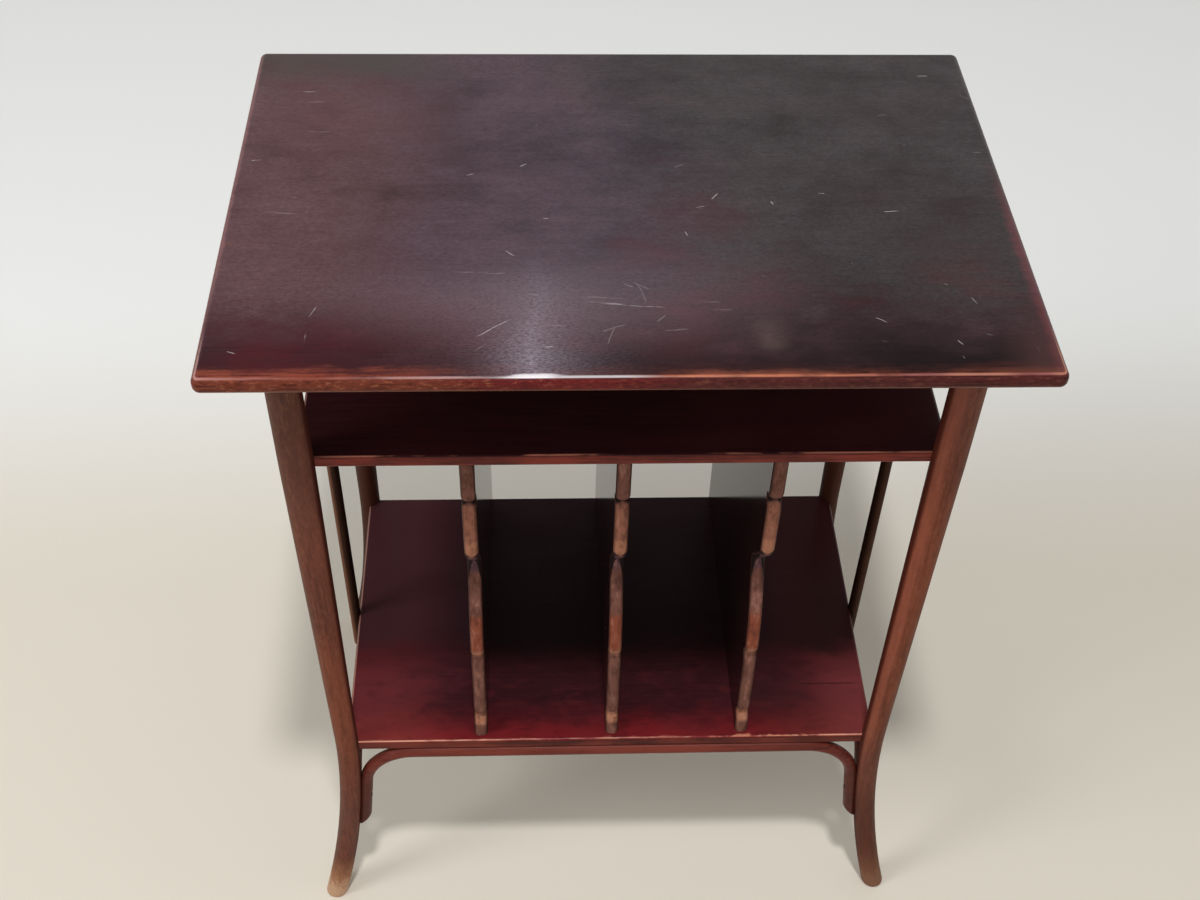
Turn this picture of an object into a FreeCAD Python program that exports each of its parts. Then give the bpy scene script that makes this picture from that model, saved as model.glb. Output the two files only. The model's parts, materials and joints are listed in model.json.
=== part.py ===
import FreeCAD, Part
import math
import os

# A bentwood music table: a board top, two shelves, scroll-cut dividers, bent legs and bent aprons.
# Millimetres, +Z up, origin on the floor under the middle of the table, front towards -Y.

# Table top
TABLE_HEIGHT = 740.0
TOP_WIDTH = 603.0
TOP_DEPTH = 416.0
TOP_THICKNESS = 14.0
TOP_CORNER_RADIUS = 6.0
TOP_EDGE_RADIUS = 5.5

# Battens under the top, front to back over the leg tops
BATTEN_WIDTH = 26.0
BATTEN_THICKNESS = 11.5
BATTEN_END_SETBACK = 17.0
BATTEN_EDGE_RADIUS = 1.5

# Shelves, heights of their upper faces
MID_SHELF_HEIGHT = 613.0
MID_SHELF_THICKNESS = 11.0
LOWER_SHELF_HEIGHT = 233.0
LOWER_SHELF_THICKNESS = 12.0
SHELF_EDGE_RADIUS = 2.5

# Legs: closest together at the lower shelf, leaning outwards above it and bent outwards below it
LEG_SIDE_INSET = 56.0
LEG_FRONT_INSET = 54.0
LEG_LEAN_ANGLE = 0.7
LEG_BEND_RADIUS = 790.0
LEG_UPPER_DIAMETER = 27.0
LEG_LOWER_DIAMETER = 20.8
LEG_FOOT_ROUNDING = 2.5
LEG_PEG_DIAMETER = 14.0
LEG_PEG_TOP_GAP = 1.0

# Dividers: upright boards between the shelves
DIVIDER_SPACING = 121.5
DIVIDER_THICKNESS = 12.0
DIVIDER_TOP_SETBACK = 2.0
DIVIDER_FOOT_SETBACK = 6.0
DIVIDER_BACK_SETBACK = 4.0
DIVIDER_EDGE_RADIUS = 4.5

# Corners of the scroll-cut front edge, drawn for one divider height: height, depth of the cut, radius
SCROLL_DRAWN_HEIGHT = 369.0
SCROLL_CORNERS = [
    (17.0, 1.5, 6.0),
    (23.2, 8.0, 2.0),
    (30.3, 4.0, 7.0),
    (100.4, 6.0, 8.0),
    (109.6, 12.5, 2.0),
    (117.7, 5.0, 12.0),
    (164.9, 12.0, 110.0),
    (211.1, 36.0, 14.0),
    (253.5, 3.0, 18.0),
    (309.6, 2.5, 8.0),
    (319.6, 9.5, 2.0),
    (325.8, 0.5, 6.0),
]

# Side rods, let a little into the shelf edges at mid depth
ROD_DIAMETER = 10.5
ROD_SEAT_DEPTH = 1.4
ROD_UPPER_TAIL = 6.0
ROD_LOWER_TAIL = 36.0
ROD_END_RADIUS = 3.5

# Aprons: bent rods under the lower shelf, with arms along the legs; drops are from the run's axis
APRON_DIAMETER = 12.0
APRON_BEND_RADIUS = 47.0
APRON_FRONT_INSET = 2.5
APRON_SIDE_INSET = 5.0
APRON_ARM_DROP = 45.0
APRON_TIP_DROP = 104.0
APRON_TIP_BEVEL_ANGLE = 56.0
APRON_SEAT_DEPTH = 1.0

# Dowels
DOWEL_DIAMETER = 6.0
LEG_DOWEL_PAST_AXIS = 3.0
LEG_DOWEL_SHELF_BITE = 24.0
DIVIDER_DOWEL_OFFSET = 92.0
DIVIDER_DOWEL_SHELF_BITE = 7.0
DIVIDER_DOWEL_BOARD_BITE = 15.0

# Countersunk screws
SCREW_SHANK_DIAMETER = 3.5
SCREW_HEAD_DIAMETER = 7.0
SCREW_TIP_LENGTH = 3.0
SCREW_HEAD_RECESS = 1.3
BATTEN_SCREW_RECESS = 0.4
BATTEN_SCREW_OFFSET = 105.0
BATTEN_SCREW_BITE = 8.0
APRON_SHELF_SCREW_OFFSET = 70.0
APRON_SHELF_SCREW_BITE = 8.0
APRON_FRONT_SCREW_DROP = 64.0
APRON_SIDE_SCREW_DROP = 80.0
APRON_LEG_SCREW_BITE = 9.0
ROD_SCREW_SHANK_DIAMETER = 2.5
ROD_SCREW_HEAD_DIAMETER = 5.0
ROD_SCREW_BITE = 14.0

# Clearance all round between a piece and its seat, for glue
GLUE_GAP = 0.1

# Heights and places that follow from the sizes above
TOP_UNDERSIDE = TABLE_HEIGHT - TOP_THICKNESS
BATTEN_UNDERSIDE = TOP_UNDERSIDE - BATTEN_THICKNESS
MID_SHELF_UNDERSIDE = MID_SHELF_HEIGHT - MID_SHELF_THICKNESS
LOWER_SHELF_UNDERSIDE = LOWER_SHELF_HEIGHT - LOWER_SHELF_THICKNESS
MID_SHELF_MIDDLE = MID_SHELF_HEIGHT - MID_SHELF_THICKNESS / 2
LOWER_SHELF_MIDDLE = LOWER_SHELF_HEIGHT - LOWER_SHELF_THICKNESS / 2
APRON_RUN_HEIGHT = LOWER_SHELF_UNDERSIDE - APRON_DIAMETER / 2
APRON_ARM_HEIGHT = APRON_RUN_HEIGHT - APRON_ARM_DROP
APRON_TIP_HEIGHT = APRON_RUN_HEIGHT - APRON_TIP_DROP
LEG_HALF_SPACING_X = TOP_WIDTH / 2 - LEG_SIDE_INSET
LEG_HALF_SPACING_Y = TOP_DEPTH / 2 - LEG_FRONT_INSET
LEG_BEND_HEIGHT = LOWER_SHELF_HEIGHT
LEG_DIRECTION = math.atan2(LEG_HALF_SPACING_Y, LEG_HALF_SPACING_X)
LEAN = math.radians(LEG_LEAN_ANGLE)
LEG_STRAIGHT_START = LEG_BEND_HEIGHT + LEG_BEND_RADIUS * math.sin(LEAN)
LEG_TAPER_END = MID_SHELF_UNDERSIDE

X_AXIS = FreeCAD.Vector(1, 0, 0)
Y_AXIS = FreeCAD.Vector(0, 1, 0)
UP = FreeCAD.Vector(0, 0, 1)
DOWN = FreeCAD.Vector(0, 0, -1)
CORNERS = {
    "front_left": (-1, -1),
    "front_right": (1, -1),
    "rear_left": (-1, 1),
    "rear_right": (1, 1),
}
DIVIDERS = {"left_divider": -1, "middle_divider": 0, "right_divider": 1}
SIDES = {"left": -1, "right": 1}


# General shapes

def block(x_size, y_size, bottom, top, x_middle=0.0):
    """A box centred on the X and Y planes, or on another X, between two heights."""
    corner = FreeCAD.Vector(x_middle - x_size / 2, -y_size / 2, bottom)
    return Part.makeBox(x_size, y_size, top - bottom, corner)


def placed(shape, position, direction):
    """The shape with its own +Z turned to a direction and its own origin put at a position."""
    moved = shape.copy()
    moved.Placement = FreeCAD.Placement(position, FreeCAD.Rotation(UP, direction))
    return moved


def turned(outline):
    """A solid of revolution about Z from (radius, height) corners."""
    points = [FreeCAD.Vector(radius, 0, height) for radius, height in outline]
    face = Part.Face(Part.makePolygon(points + points[:1]))
    return face.revolve(FreeCAD.Vector(0, 0, 0), UP, 360)


def rounded_board(x_size, y_size, bottom, top, edge_radius, corner_radius=0.0):
    """A board with rounded upright corners and rounded upper and lower edges."""
    board = block(x_size, y_size, bottom, top)
    if corner_radius > 0:
        uprights = [edge for edge in board.Edges if edge.BoundBox.ZLength > edge_radius]
        board = board.makeFillet(corner_radius, uprights)
    rims = [edge for edge in board.Edges if edge.BoundBox.ZLength < edge_radius / 2]
    return board.makeFillet(edge_radius, rims)


def cut_all(shape, cutters):
    """The shape less each cutter in turn."""
    for cutter in cutters:
        shape = shape.cut(cutter)
    return shape


# Legs

def leg_sweep(height):
    """How far a leg's axis lies outwards of its narrowest place, straight away from the table's middle."""
    if height > LEG_STRAIGHT_START:
        arc_part = LEG_BEND_RADIUS * (1 - math.cos(LEAN))
        return arc_part + (height - LEG_STRAIGHT_START) * math.tan(LEAN)
    rise = height - LEG_BEND_HEIGHT
    return LEG_BEND_RADIUS - math.sqrt(LEG_BEND_RADIUS ** 2 - rise ** 2)


def leg_x(height):
    """Distance of the leg axes from the middle of the table, along X."""
    return LEG_HALF_SPACING_X + leg_sweep(height) * math.cos(LEG_DIRECTION)


def leg_y(height):
    """Distance of the leg axes from the middle of the table, along Y."""
    return LEG_HALF_SPACING_Y + leg_sweep(height) * math.sin(LEG_DIRECTION)


def leg_radius(height):
    """Radius of a leg: slender along the bend, tapered up to the mid shelf, even above it."""
    share = (height - LEG_STRAIGHT_START) / (LEG_TAPER_END - LEG_STRAIGHT_START)
    share = min(max(share, 0.0), 1.0)
    return (LEG_LOWER_DIAMETER + (LEG_UPPER_DIAMETER - LEG_LOWER_DIAMETER) * share) / 2


def leg_axis_point(x_side, y_side, height):
    """The point of a leg's axis at a height."""
    return FreeCAD.Vector(x_side * leg_x(height), y_side * leg_y(height), height)


def leg_bar(x_side, y_side, extra_radius=0.0):
    """The bent, tapered bar of a leg, running past the floor and past the batten."""
    overrun = LEG_UPPER_DIAMETER
    bend_end, taper_end, bar_end = [
        FreeCAD.Vector(leg_sweep(height), 0, height)
        for height in (LEG_STRAIGHT_START, LEG_TAPER_END, BATTEN_UNDERSIDE + overrun)
    ]
    upwards = taper_end - bend_end
    lower = LEG_LOWER_DIAMETER / 2 + extra_radius
    upper = LEG_UPPER_DIAMETER / 2 + extra_radius
    bend_middle = FreeCAD.Vector(LEG_BEND_RADIUS, 0, LEG_BEND_HEIGHT)
    floor_angle = math.degrees(math.asin((LEG_BEND_HEIGHT + overrun) / LEG_BEND_RADIUS))
    section = Part.Face(placed(Part.Wire(Part.makeCircle(lower)), bend_end, upwards))
    bend = section.revolve(bend_middle, Y_AXIS * -1, floor_angle + LEG_LEAN_ANGLE)
    taper = Part.makeCone(lower, upper, upwards.Length, bend_end, upwards)
    head = Part.makeCylinder(upper, (bar_end - taper_end).Length, taper_end, upwards)
    bar = bend.fuse([taper, head])
    turn = math.atan2(y_side * LEG_HALF_SPACING_Y, x_side * LEG_HALF_SPACING_X)
    bar.rotate(FreeCAD.Vector(0, 0, 0), UP, math.degrees(turn))
    bar.translate(FreeCAD.Vector(x_side * LEG_HALF_SPACING_X, y_side * LEG_HALF_SPACING_Y, 0))
    return bar


def leg(x_side, y_side):
    """A leg: flat at the floor with a rounded rim, shouldered and pegged at the top."""
    bar = leg_bar(x_side, y_side)
    whole = bar.common(block(TOP_WIDTH * 2, TOP_DEPTH * 2, 0.0, BATTEN_UNDERSIDE))
    floor_rim = [edge for edge in whole.Edges if edge.BoundBox.ZMax < LEG_FOOT_ROUNDING / 2]
    whole = whole.makeFillet(LEG_FOOT_ROUNDING, floor_rim)
    peg_foot = leg_axis_point(x_side, y_side, BATTEN_UNDERSIDE)
    peg = Part.makeCylinder(LEG_PEG_DIAMETER / 2, BATTEN_THICKNESS - LEG_PEG_TOP_GAP, peg_foot)
    return whole.fuse(peg).removeSplitter()


# Fasteners

def screw(length, shank_diameter, head_diameter):
    """A countersunk wood screw, pointing along +Z from its head's face."""
    shank, head = shank_diameter / 2, head_diameter / 2
    outline = [(0, 0), (head, 0), (shank, head - shank), (shank, length - SCREW_TIP_LENGTH), (0, length)]
    return turned(outline)


def screw_hole(length, shank_diameter, head_diameter):
    """The hole that such a screw sits in, open past its head."""
    shank, head = shank_diameter / 2 + GLUE_GAP, head_diameter / 2 + GLUE_GAP
    mouth = -head_diameter
    end = length + GLUE_GAP
    outline = [(0, mouth), (head, mouth), (head, 0), (shank, head - shank), (shank, end), (0, end)]
    return turned(outline)


class ScrewGroup:
    """Equal screws at several places, with the holes that they need."""

    def __init__(self, places, length, shank_diameter, head_diameter):
        body = screw(length, shank_diameter, head_diameter)
        hole = screw_hole(length, shank_diameter, head_diameter)
        self.screws = Part.makeCompound([placed(body, *place) for place in places])
        self.holes = Part.makeCompound([placed(hole, *place) for place in places])


class DowelGroup:
    """Equal dowels at several places, with the bores that they need."""

    def __init__(self, places, length):
        dowel = Part.makeCylinder(DOWEL_DIAMETER / 2, length)
        bore_start = FreeCAD.Vector(0, 0, -GLUE_GAP)
        bore = Part.makeCylinder(DOWEL_DIAMETER / 2 + GLUE_GAP, length + 2 * GLUE_GAP, bore_start)
        self.dowels = Part.makeCompound([placed(dowel, *place) for place in places])
        self.bores = Part.makeCompound([placed(bore, *place) for place in places])


def leg_dowel_group(height):
    """Dowels that hold one shelf to the four legs, pointing at the table's middle."""
    places = []
    for x_side, y_side in CORNERS.values():
        inwards = FreeCAD.Vector(-x_side * LEG_HALF_SPACING_X, -y_side * LEG_HALF_SPACING_Y, 0).normalize()
        axis_point = leg_axis_point(x_side, y_side, height)
        places.append((axis_point - inwards * LEG_DOWEL_PAST_AXIS, inwards))
    length = LEG_DOWEL_PAST_AXIS + leg_radius(height) + LEG_DOWEL_SHELF_BITE
    return DowelGroup(places, length)


def divider_dowel_group(shelf_face, into_shelf):
    """Dowels that hold the dividers to one shelf."""
    start = shelf_face + into_shelf.z * DIVIDER_DOWEL_SHELF_BITE
    places = []
    for step in DIVIDERS.values():
        for y_place in (-DIVIDER_DOWEL_OFFSET, DIVIDER_DOWEL_OFFSET):
            places.append((FreeCAD.Vector(step * DIVIDER_SPACING, y_place, start), into_shelf * -1))
    return DowelGroup(places, DIVIDER_DOWEL_SHELF_BITE + DIVIDER_DOWEL_BOARD_BITE)


def batten_screw_group():
    """Screws driven upwards through the battens into the top."""
    length = BATTEN_THICKNESS - BATTEN_SCREW_RECESS + BATTEN_SCREW_BITE
    height = BATTEN_UNDERSIDE + BATTEN_SCREW_RECESS
    places = []
    for side in SIDES.values():
        for y_place in (-BATTEN_SCREW_OFFSET, 0.0, BATTEN_SCREW_OFFSET):
            places.append((FreeCAD.Vector(side * leg_x(BATTEN_UNDERSIDE), y_place, height), UP))
    return ScrewGroup(places, length, SCREW_SHANK_DIAMETER, SCREW_HEAD_DIAMETER)


# Side rods

class SideRod:
    """A straight rod on one side of the table, let into both shelf edges."""

    def __init__(self, side):
        axis_offset = ROD_DIAMETER / 2 - ROD_SEAT_DEPTH
        self.side = side
        self.low, self.high = [
            FreeCAD.Vector(side * (leg_x(height) + axis_offset), 0, height)
            for height in (LOWER_SHELF_MIDDLE, MID_SHELF_MIDDLE)
        ]

    def axis_point(self, height):
        share = (height - self.low.z) / (self.high.z - self.low.z)
        return self.low + (self.high - self.low) * share

    def bar(self, extra_radius=0.0):
        bottom = self.axis_point(LOWER_SHELF_UNDERSIDE - ROD_LOWER_TAIL)
        top = self.axis_point(MID_SHELF_HEIGHT + ROD_UPPER_TAIL)
        along = top - bottom
        return Part.makeCylinder(ROD_DIAMETER / 2 + extra_radius, along.Length, bottom, along)

    def rod(self):
        bar = self.bar()
        rims = [edge for edge in bar.Edges if edge.Closed]
        return bar.makeFillet(ROD_END_RADIUS, rims)

    def screw_places(self):
        inwards = FreeCAD.Vector(-self.side, 0, 0)
        head_offset = ROD_DIAMETER / 2 - SCREW_HEAD_RECESS
        return [(point - inwards * head_offset, inwards) for point in (self.low, self.high)]


# Aprons

class Apron:
    """A U-shaped bent rod: a straight run under the shelf, and two arms that lie along two legs."""

    def __init__(self, along, outwards, leg_along, leg_outwards, inset, screw_drop):
        self.along = along
        self.outwards = outwards
        self.leg_along = leg_along
        self.inset = inset
        self.screw_drop = screw_drop
        self.run_out = leg_outwards(LOWER_SHELF_MIDDLE) - inset
        self.tip_out = leg_outwards(APRON_TIP_HEIGHT) - inset
        self.tilt = math.atan2(self.tip_out - self.run_out, APRON_TIP_DROP)
        self.down_plane = DOWN * math.cos(self.tilt) + outwards * math.sin(self.tilt)
        self.run_middle = outwards * self.run_out + UP * APRON_RUN_HEIGHT

    def arm_reach(self, height):
        """Distance of an arm's axis from the middle of the run, where it lies against the leg."""
        contact = leg_radius(height) + APRON_DIAMETER / 2 - APRON_SEAT_DEPTH
        return self.leg_along(height) - math.sqrt(contact ** 2 - self.inset ** 2)

    def point(self, reach, drop):
        """A point of the tilted plane: reach along the run, drop down the plane."""
        return self.run_middle + self.along * reach + self.down_plane * drop

    def arm_line(self):
        """Reach at the run's level and outward slope of the arm, both in the tilted plane."""
        top_drop = APRON_ARM_DROP / math.cos(self.tilt)
        tip_drop = APRON_TIP_DROP / math.cos(self.tilt)
        top_reach = self.arm_reach(APRON_ARM_HEIGHT)
        slope = (self.arm_reach(APRON_TIP_HEIGHT) - top_reach) / (tip_drop - top_drop)
        return top_reach - slope * top_drop, slope, tip_drop

    def arm_point(self, side, drop):
        corner_reach, slope, tip_drop = self.arm_line()
        return self.point(side * (corner_reach + slope * drop), drop)

    def path(self):
        """The axis: arm, bend, run, bend, arm, with the arms running past their tips."""
        corner_reach, slope, tip_drop = self.arm_line()
        splay = math.atan(slope)
        turn = math.pi / 2 - splay
        tangent = APRON_BEND_RADIUS * math.tan(turn / 2)
        bend_start = (corner_reach - tangent, 0.0)
        bend_end = (corner_reach + tangent * math.sin(splay), tangent * math.cos(splay))
        half_turn = turn / 2
        bend_middle = (
            bend_start[0] + APRON_BEND_RADIUS * math.sin(half_turn),
            APRON_BEND_RADIUS * (1 - math.cos(half_turn)),
        )
        past_tip = tip_drop + 2 * APRON_DIAMETER
        arm_end = (corner_reach + slope * past_tip, past_tip)
        right = [self.point(*place) for place in (bend_start, bend_middle, bend_end, arm_end)]
        left = [self.point(-place[0], place[1]) for place in (bend_start, bend_middle, bend_end, arm_end)]
        edges = [
            Part.LineSegment(left[3], left[2]).toShape(),
            Part.Arc(left[2], left[1], left[0]).toShape(),
            Part.LineSegment(left[0], right[0]).toShape(),
            Part.Arc(right[0], right[1], right[2]).toShape(),
            Part.LineSegment(right[2], right[3]).toShape(),
        ]
        return Part.Wire(edges)

    def tip_cutter(self, side):
        """A block that takes off an arm past its slanted end, which points at the leg."""
        corner_reach, slope, tip_drop = self.arm_line()
        splay = math.atan(slope)
        arm_down = self.along * (side * math.sin(splay)) + self.down_plane * math.cos(splay)
        arm_inwards = self.along * (-side * math.cos(splay)) + self.down_plane * math.sin(splay)
        bevel = math.radians(APRON_TIP_BEVEL_ANGLE)
        cut_normal = arm_down * math.cos(bevel) + arm_inwards * math.sin(bevel)
        size = 8 * APRON_DIAMETER
        cutter = Part.makeBox(size, size, size, FreeCAD.Vector(-size / 2, -size / 2, 0))
        return placed(cutter, self.arm_point(side, tip_drop), cut_normal)

    def rod(self):
        path = self.path()
        arm = path.Edges[0]
        arm_end = arm.valueAt(arm.FirstParameter)
        arm_direction = arm.tangentAt(arm.FirstParameter)
        circle = placed(Part.Wire(Part.makeCircle(APRON_DIAMETER / 2)), arm_end, arm_direction)
        rod = path.makePipeShell([circle], True, False)
        return rod.cut(self.tip_cutter(-1)).cut(self.tip_cutter(1))

    def leg_screw_places(self):
        drop = self.screw_drop / math.cos(self.tilt)
        head_offset = APRON_DIAMETER / 2 - SCREW_HEAD_RECESS
        places = []
        for side in (-1, 1):
            towards_leg = self.along * side
            places.append((self.arm_point(side, drop) - towards_leg * head_offset, towards_leg))
        return places

    def shelf_screw_places(self):
        head_offset = APRON_DIAMETER / 2 - SCREW_HEAD_RECESS
        reaches = (-APRON_SHELF_SCREW_OFFSET, APRON_SHELF_SCREW_OFFSET)
        return [(self.point(reach, 0.0) - UP * head_offset, UP) for reach in reaches]


# Shelves and dividers

def shelf(middle_height, bottom, top, cutters):
    """A shelf with its corners at the leg axes, cut out for the legs, rods and fasteners."""
    board = rounded_board(
        2 * leg_x(middle_height), 2 * leg_y(middle_height), bottom, top, SHELF_EDGE_RADIUS
    )
    return cut_all(board, cutters)


def rounded_edges(corners):
    """Lines and arcs through (point, radius) corners, each corner rounded by its radius."""
    edges = []
    last_end = corners[0][0]
    for (before, _), (corner, radius), (after, _) in zip(corners, corners[1:], corners[2:]):
        arriving = (corner - before).normalize()
        leaving = (after - corner).normalize()
        half_turn = arriving.getAngle(leaving) / 2
        tangent = radius * math.tan(half_turn)
        start = corner - arriving * tangent
        end = corner + leaving * tangent
        to_middle = (leaving - arriving).normalize()
        middle = corner + to_middle * (radius / math.cos(half_turn) - radius)
        edges.append(Part.LineSegment(last_end, start).toShape())
        edges.append(Part.Arc(start, middle, end).toShape())
        last_end = end
    edges.append(Part.LineSegment(last_end, corners[-1][0]).toShape())
    return edges


def divider(x_place):
    """A divider board: straight at the back, scroll-cut and rounded over at the front."""
    left_face = x_place - DIVIDER_THICKNESS / 2
    foot_front = -leg_y(LOWER_SHELF_MIDDLE) + DIVIDER_FOOT_SETBACK
    head_front = -leg_y(MID_SHELF_MIDDLE) + DIVIDER_TOP_SETBACK
    back = leg_y(LOWER_SHELF_MIDDLE) - DIVIDER_BACK_SETBACK
    board_height = MID_SHELF_UNDERSIDE - LOWER_SHELF_HEIGHT

    def front_point(share, cut_depth):
        front = foot_front + (head_front - foot_front) * share
        return FreeCAD.Vector(left_face, front + cut_depth, LOWER_SHELF_HEIGHT + board_height * share)

    corners = [
        (front_point(height / SCROLL_DRAWN_HEIGHT, cut_depth), radius)
        for height, cut_depth, radius in SCROLL_CORNERS
    ]
    foot = front_point(0.0, 0.0)
    head = front_point(1.0, 0.0)
    front_edges = rounded_edges([(foot, 0.0)] + corners + [(head, 0.0)])
    back_foot = FreeCAD.Vector(left_face, back, LOWER_SHELF_HEIGHT)
    back_head = FreeCAD.Vector(left_face, back, MID_SHELF_UNDERSIDE)
    back_edges = [
        Part.LineSegment(head, back_head).toShape(),
        Part.LineSegment(back_head, back_foot).toShape(),
        Part.LineSegment(back_foot, foot).toShape(),
    ]
    outline = Part.Face(Part.Wire(front_edges + back_edges))
    board = outline.extrude(FreeCAD.Vector(DIVIDER_THICKNESS, 0, 0))
    face_edges = [edge for edge in board.Edges if edge.BoundBox.XLength < DIVIDER_EDGE_RADIUS / 2]
    front_rims = [edge for edge in face_edges if edge.CenterOfMass.y < foot_front / 2]
    return board.makeFillet(DIVIDER_EDGE_RADIUS, front_rims)


# The assembly

APRONS = {
    "front_apron": Apron(X_AXIS, Y_AXIS * -1, leg_x, leg_y, APRON_FRONT_INSET, APRON_FRONT_SCREW_DROP),
    "rear_apron": Apron(X_AXIS, Y_AXIS, leg_x, leg_y, APRON_FRONT_INSET, APRON_FRONT_SCREW_DROP),
    "left_apron": Apron(Y_AXIS, X_AXIS * -1, leg_y, leg_x, APRON_SIDE_INSET, APRON_SIDE_SCREW_DROP),
    "right_apron": Apron(Y_AXIS, X_AXIS, leg_y, leg_x, APRON_SIDE_INSET, APRON_SIDE_SCREW_DROP),
}
RODS = {name: SideRod(side) for name, side in SIDES.items()}

leg_seats = [leg_bar(x_side, y_side, GLUE_GAP) for x_side, y_side in CORNERS.values()]
rod_seats = [rod.bar(GLUE_GAP) for rod in RODS.values()]

mid_leg_dowels = leg_dowel_group(MID_SHELF_MIDDLE)
lower_leg_dowels = leg_dowel_group(LOWER_SHELF_MIDDLE)
upper_divider_dowels = divider_dowel_group(MID_SHELF_UNDERSIDE, UP)
lower_divider_dowels = divider_dowel_group(LOWER_SHELF_HEIGHT, DOWN)
batten_screws = batten_screw_group()

apron_leg_places = [place for apron in APRONS.values() for place in apron.leg_screw_places()]
apron_leg_length = APRON_DIAMETER - SCREW_HEAD_RECESS + APRON_LEG_SCREW_BITE
apron_leg_screws = ScrewGroup(
    apron_leg_places, apron_leg_length, SCREW_SHANK_DIAMETER, SCREW_HEAD_DIAMETER
)

apron_shelf_places = [place for apron in APRONS.values() for place in apron.shelf_screw_places()]
apron_shelf_length = APRON_DIAMETER - SCREW_HEAD_RECESS + APRON_SHELF_SCREW_BITE
apron_shelf_screws = ScrewGroup(
    apron_shelf_places, apron_shelf_length, SCREW_SHANK_DIAMETER, SCREW_HEAD_DIAMETER
)

rod_screw_places = [place for rod in RODS.values() for place in rod.screw_places()]
rod_screw_length = ROD_DIAMETER - SCREW_HEAD_RECESS + ROD_SCREW_BITE
rod_screws = ScrewGroup(
    rod_screw_places, rod_screw_length, ROD_SCREW_SHANK_DIAMETER, ROD_SCREW_HEAD_DIAMETER
)

nodes = {}

top_board = rounded_board(
    TOP_WIDTH, TOP_DEPTH, TOP_UNDERSIDE, TABLE_HEIGHT, TOP_EDGE_RADIUS, TOP_CORNER_RADIUS
)
nodes["table_top"] = top_board.cut(batten_screws.holes)

for name, side in SIDES.items():
    middle = side * leg_x(BATTEN_UNDERSIDE)
    length = TOP_DEPTH - 2 * BATTEN_END_SETBACK
    batten = block(BATTEN_WIDTH, length, BATTEN_UNDERSIDE, TOP_UNDERSIDE, middle)
    rim_limit = BATTEN_UNDERSIDE + BATTEN_EDGE_RADIUS
    lower_rim = [edge for edge in batten.Edges if edge.BoundBox.ZMax < rim_limit]
    batten = batten.makeFillet(BATTEN_EDGE_RADIUS, lower_rim)
    for end in (-1, 1):
        peg_place = FreeCAD.Vector(middle, end * leg_y(BATTEN_UNDERSIDE), BATTEN_UNDERSIDE)
        peg_hole = Part.makeCylinder(LEG_PEG_DIAMETER / 2 + GLUE_GAP, BATTEN_THICKNESS, peg_place)
        batten = batten.cut(peg_hole)
    nodes[name + "_batten"] = batten.cut(batten_screws.holes)

nodes["mid_shelf"] = shelf(
    MID_SHELF_MIDDLE, MID_SHELF_UNDERSIDE, MID_SHELF_HEIGHT,
    leg_seats + rod_seats + [mid_leg_dowels.bores, upper_divider_dowels.bores, rod_screws.holes],
)
nodes["lower_shelf"] = shelf(
    LOWER_SHELF_MIDDLE, LOWER_SHELF_UNDERSIDE, LOWER_SHELF_HEIGHT,
    leg_seats + rod_seats
    + [lower_leg_dowels.bores, lower_divider_dowels.bores, rod_screws.holes, apron_shelf_screws.holes],
)

for name, (x_side, y_side) in CORNERS.items():
    leg_cutters = [mid_leg_dowels.bores, lower_leg_dowels.bores, apron_leg_screws.holes]
    nodes[name + "_leg"] = cut_all(leg(x_side, y_side), leg_cutters)

for name, step in DIVIDERS.items():
    board = divider(step * DIVIDER_SPACING)
    nodes[name] = cut_all(board, [upper_divider_dowels.bores, lower_divider_dowels.bores])

for name, rod in RODS.items():
    nodes[name + "_side_rod"] = rod.rod().cut(rod_screws.holes)

for name, apron in APRONS.items():
    apron_cutters = leg_seats + rod_seats + [apron_leg_screws.holes, apron_shelf_screws.holes]
    nodes[name] = cut_all(apron.rod(), apron_cutters)

nodes["batten_screws"] = batten_screws.screws
nodes["mid_shelf_leg_dowels"] = mid_leg_dowels.dowels
nodes["lower_shelf_leg_dowels"] = lower_leg_dowels.dowels
nodes["upper_divider_dowels"] = upper_divider_dowels.dowels
nodes["lower_divider_dowels"] = lower_divider_dowels.dowels
nodes["rod_screws"] = rod_screws.screws
nodes["apron_leg_screws"] = apron_leg_screws.screws
nodes["apron_shelf_screws"] = apron_shelf_screws.screws

os.makedirs("parts", exist_ok=True)
for name, shape in nodes.items():
    shape.exportStep(os.path.join("parts", name + ".step"))
    state = "valid" if shape.isValid() else "INVALID"
    print(name, len(shape.Solids), "solids", round(shape.Volume), "mm3", state)
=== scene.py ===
import bpy
import json
import math
from mathutils import Matrix, Vector


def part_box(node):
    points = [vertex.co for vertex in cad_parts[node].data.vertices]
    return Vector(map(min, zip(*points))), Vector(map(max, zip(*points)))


# A bentwood music table in dark mahogany stain, worn at its edges and feet, on a plain pale floor.
# Metres, +Z up, front towards -Y, the table's middle at X = Y = 0. Colours are as they look, 0 to 255.
# A fade is a pair of values: it is 0 up to the first one and 1 past the second, smooth between.
# A layer is a colour and how strongly it covers. A pattern goes from 0 to 1, about 0.5 on the whole.

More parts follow.
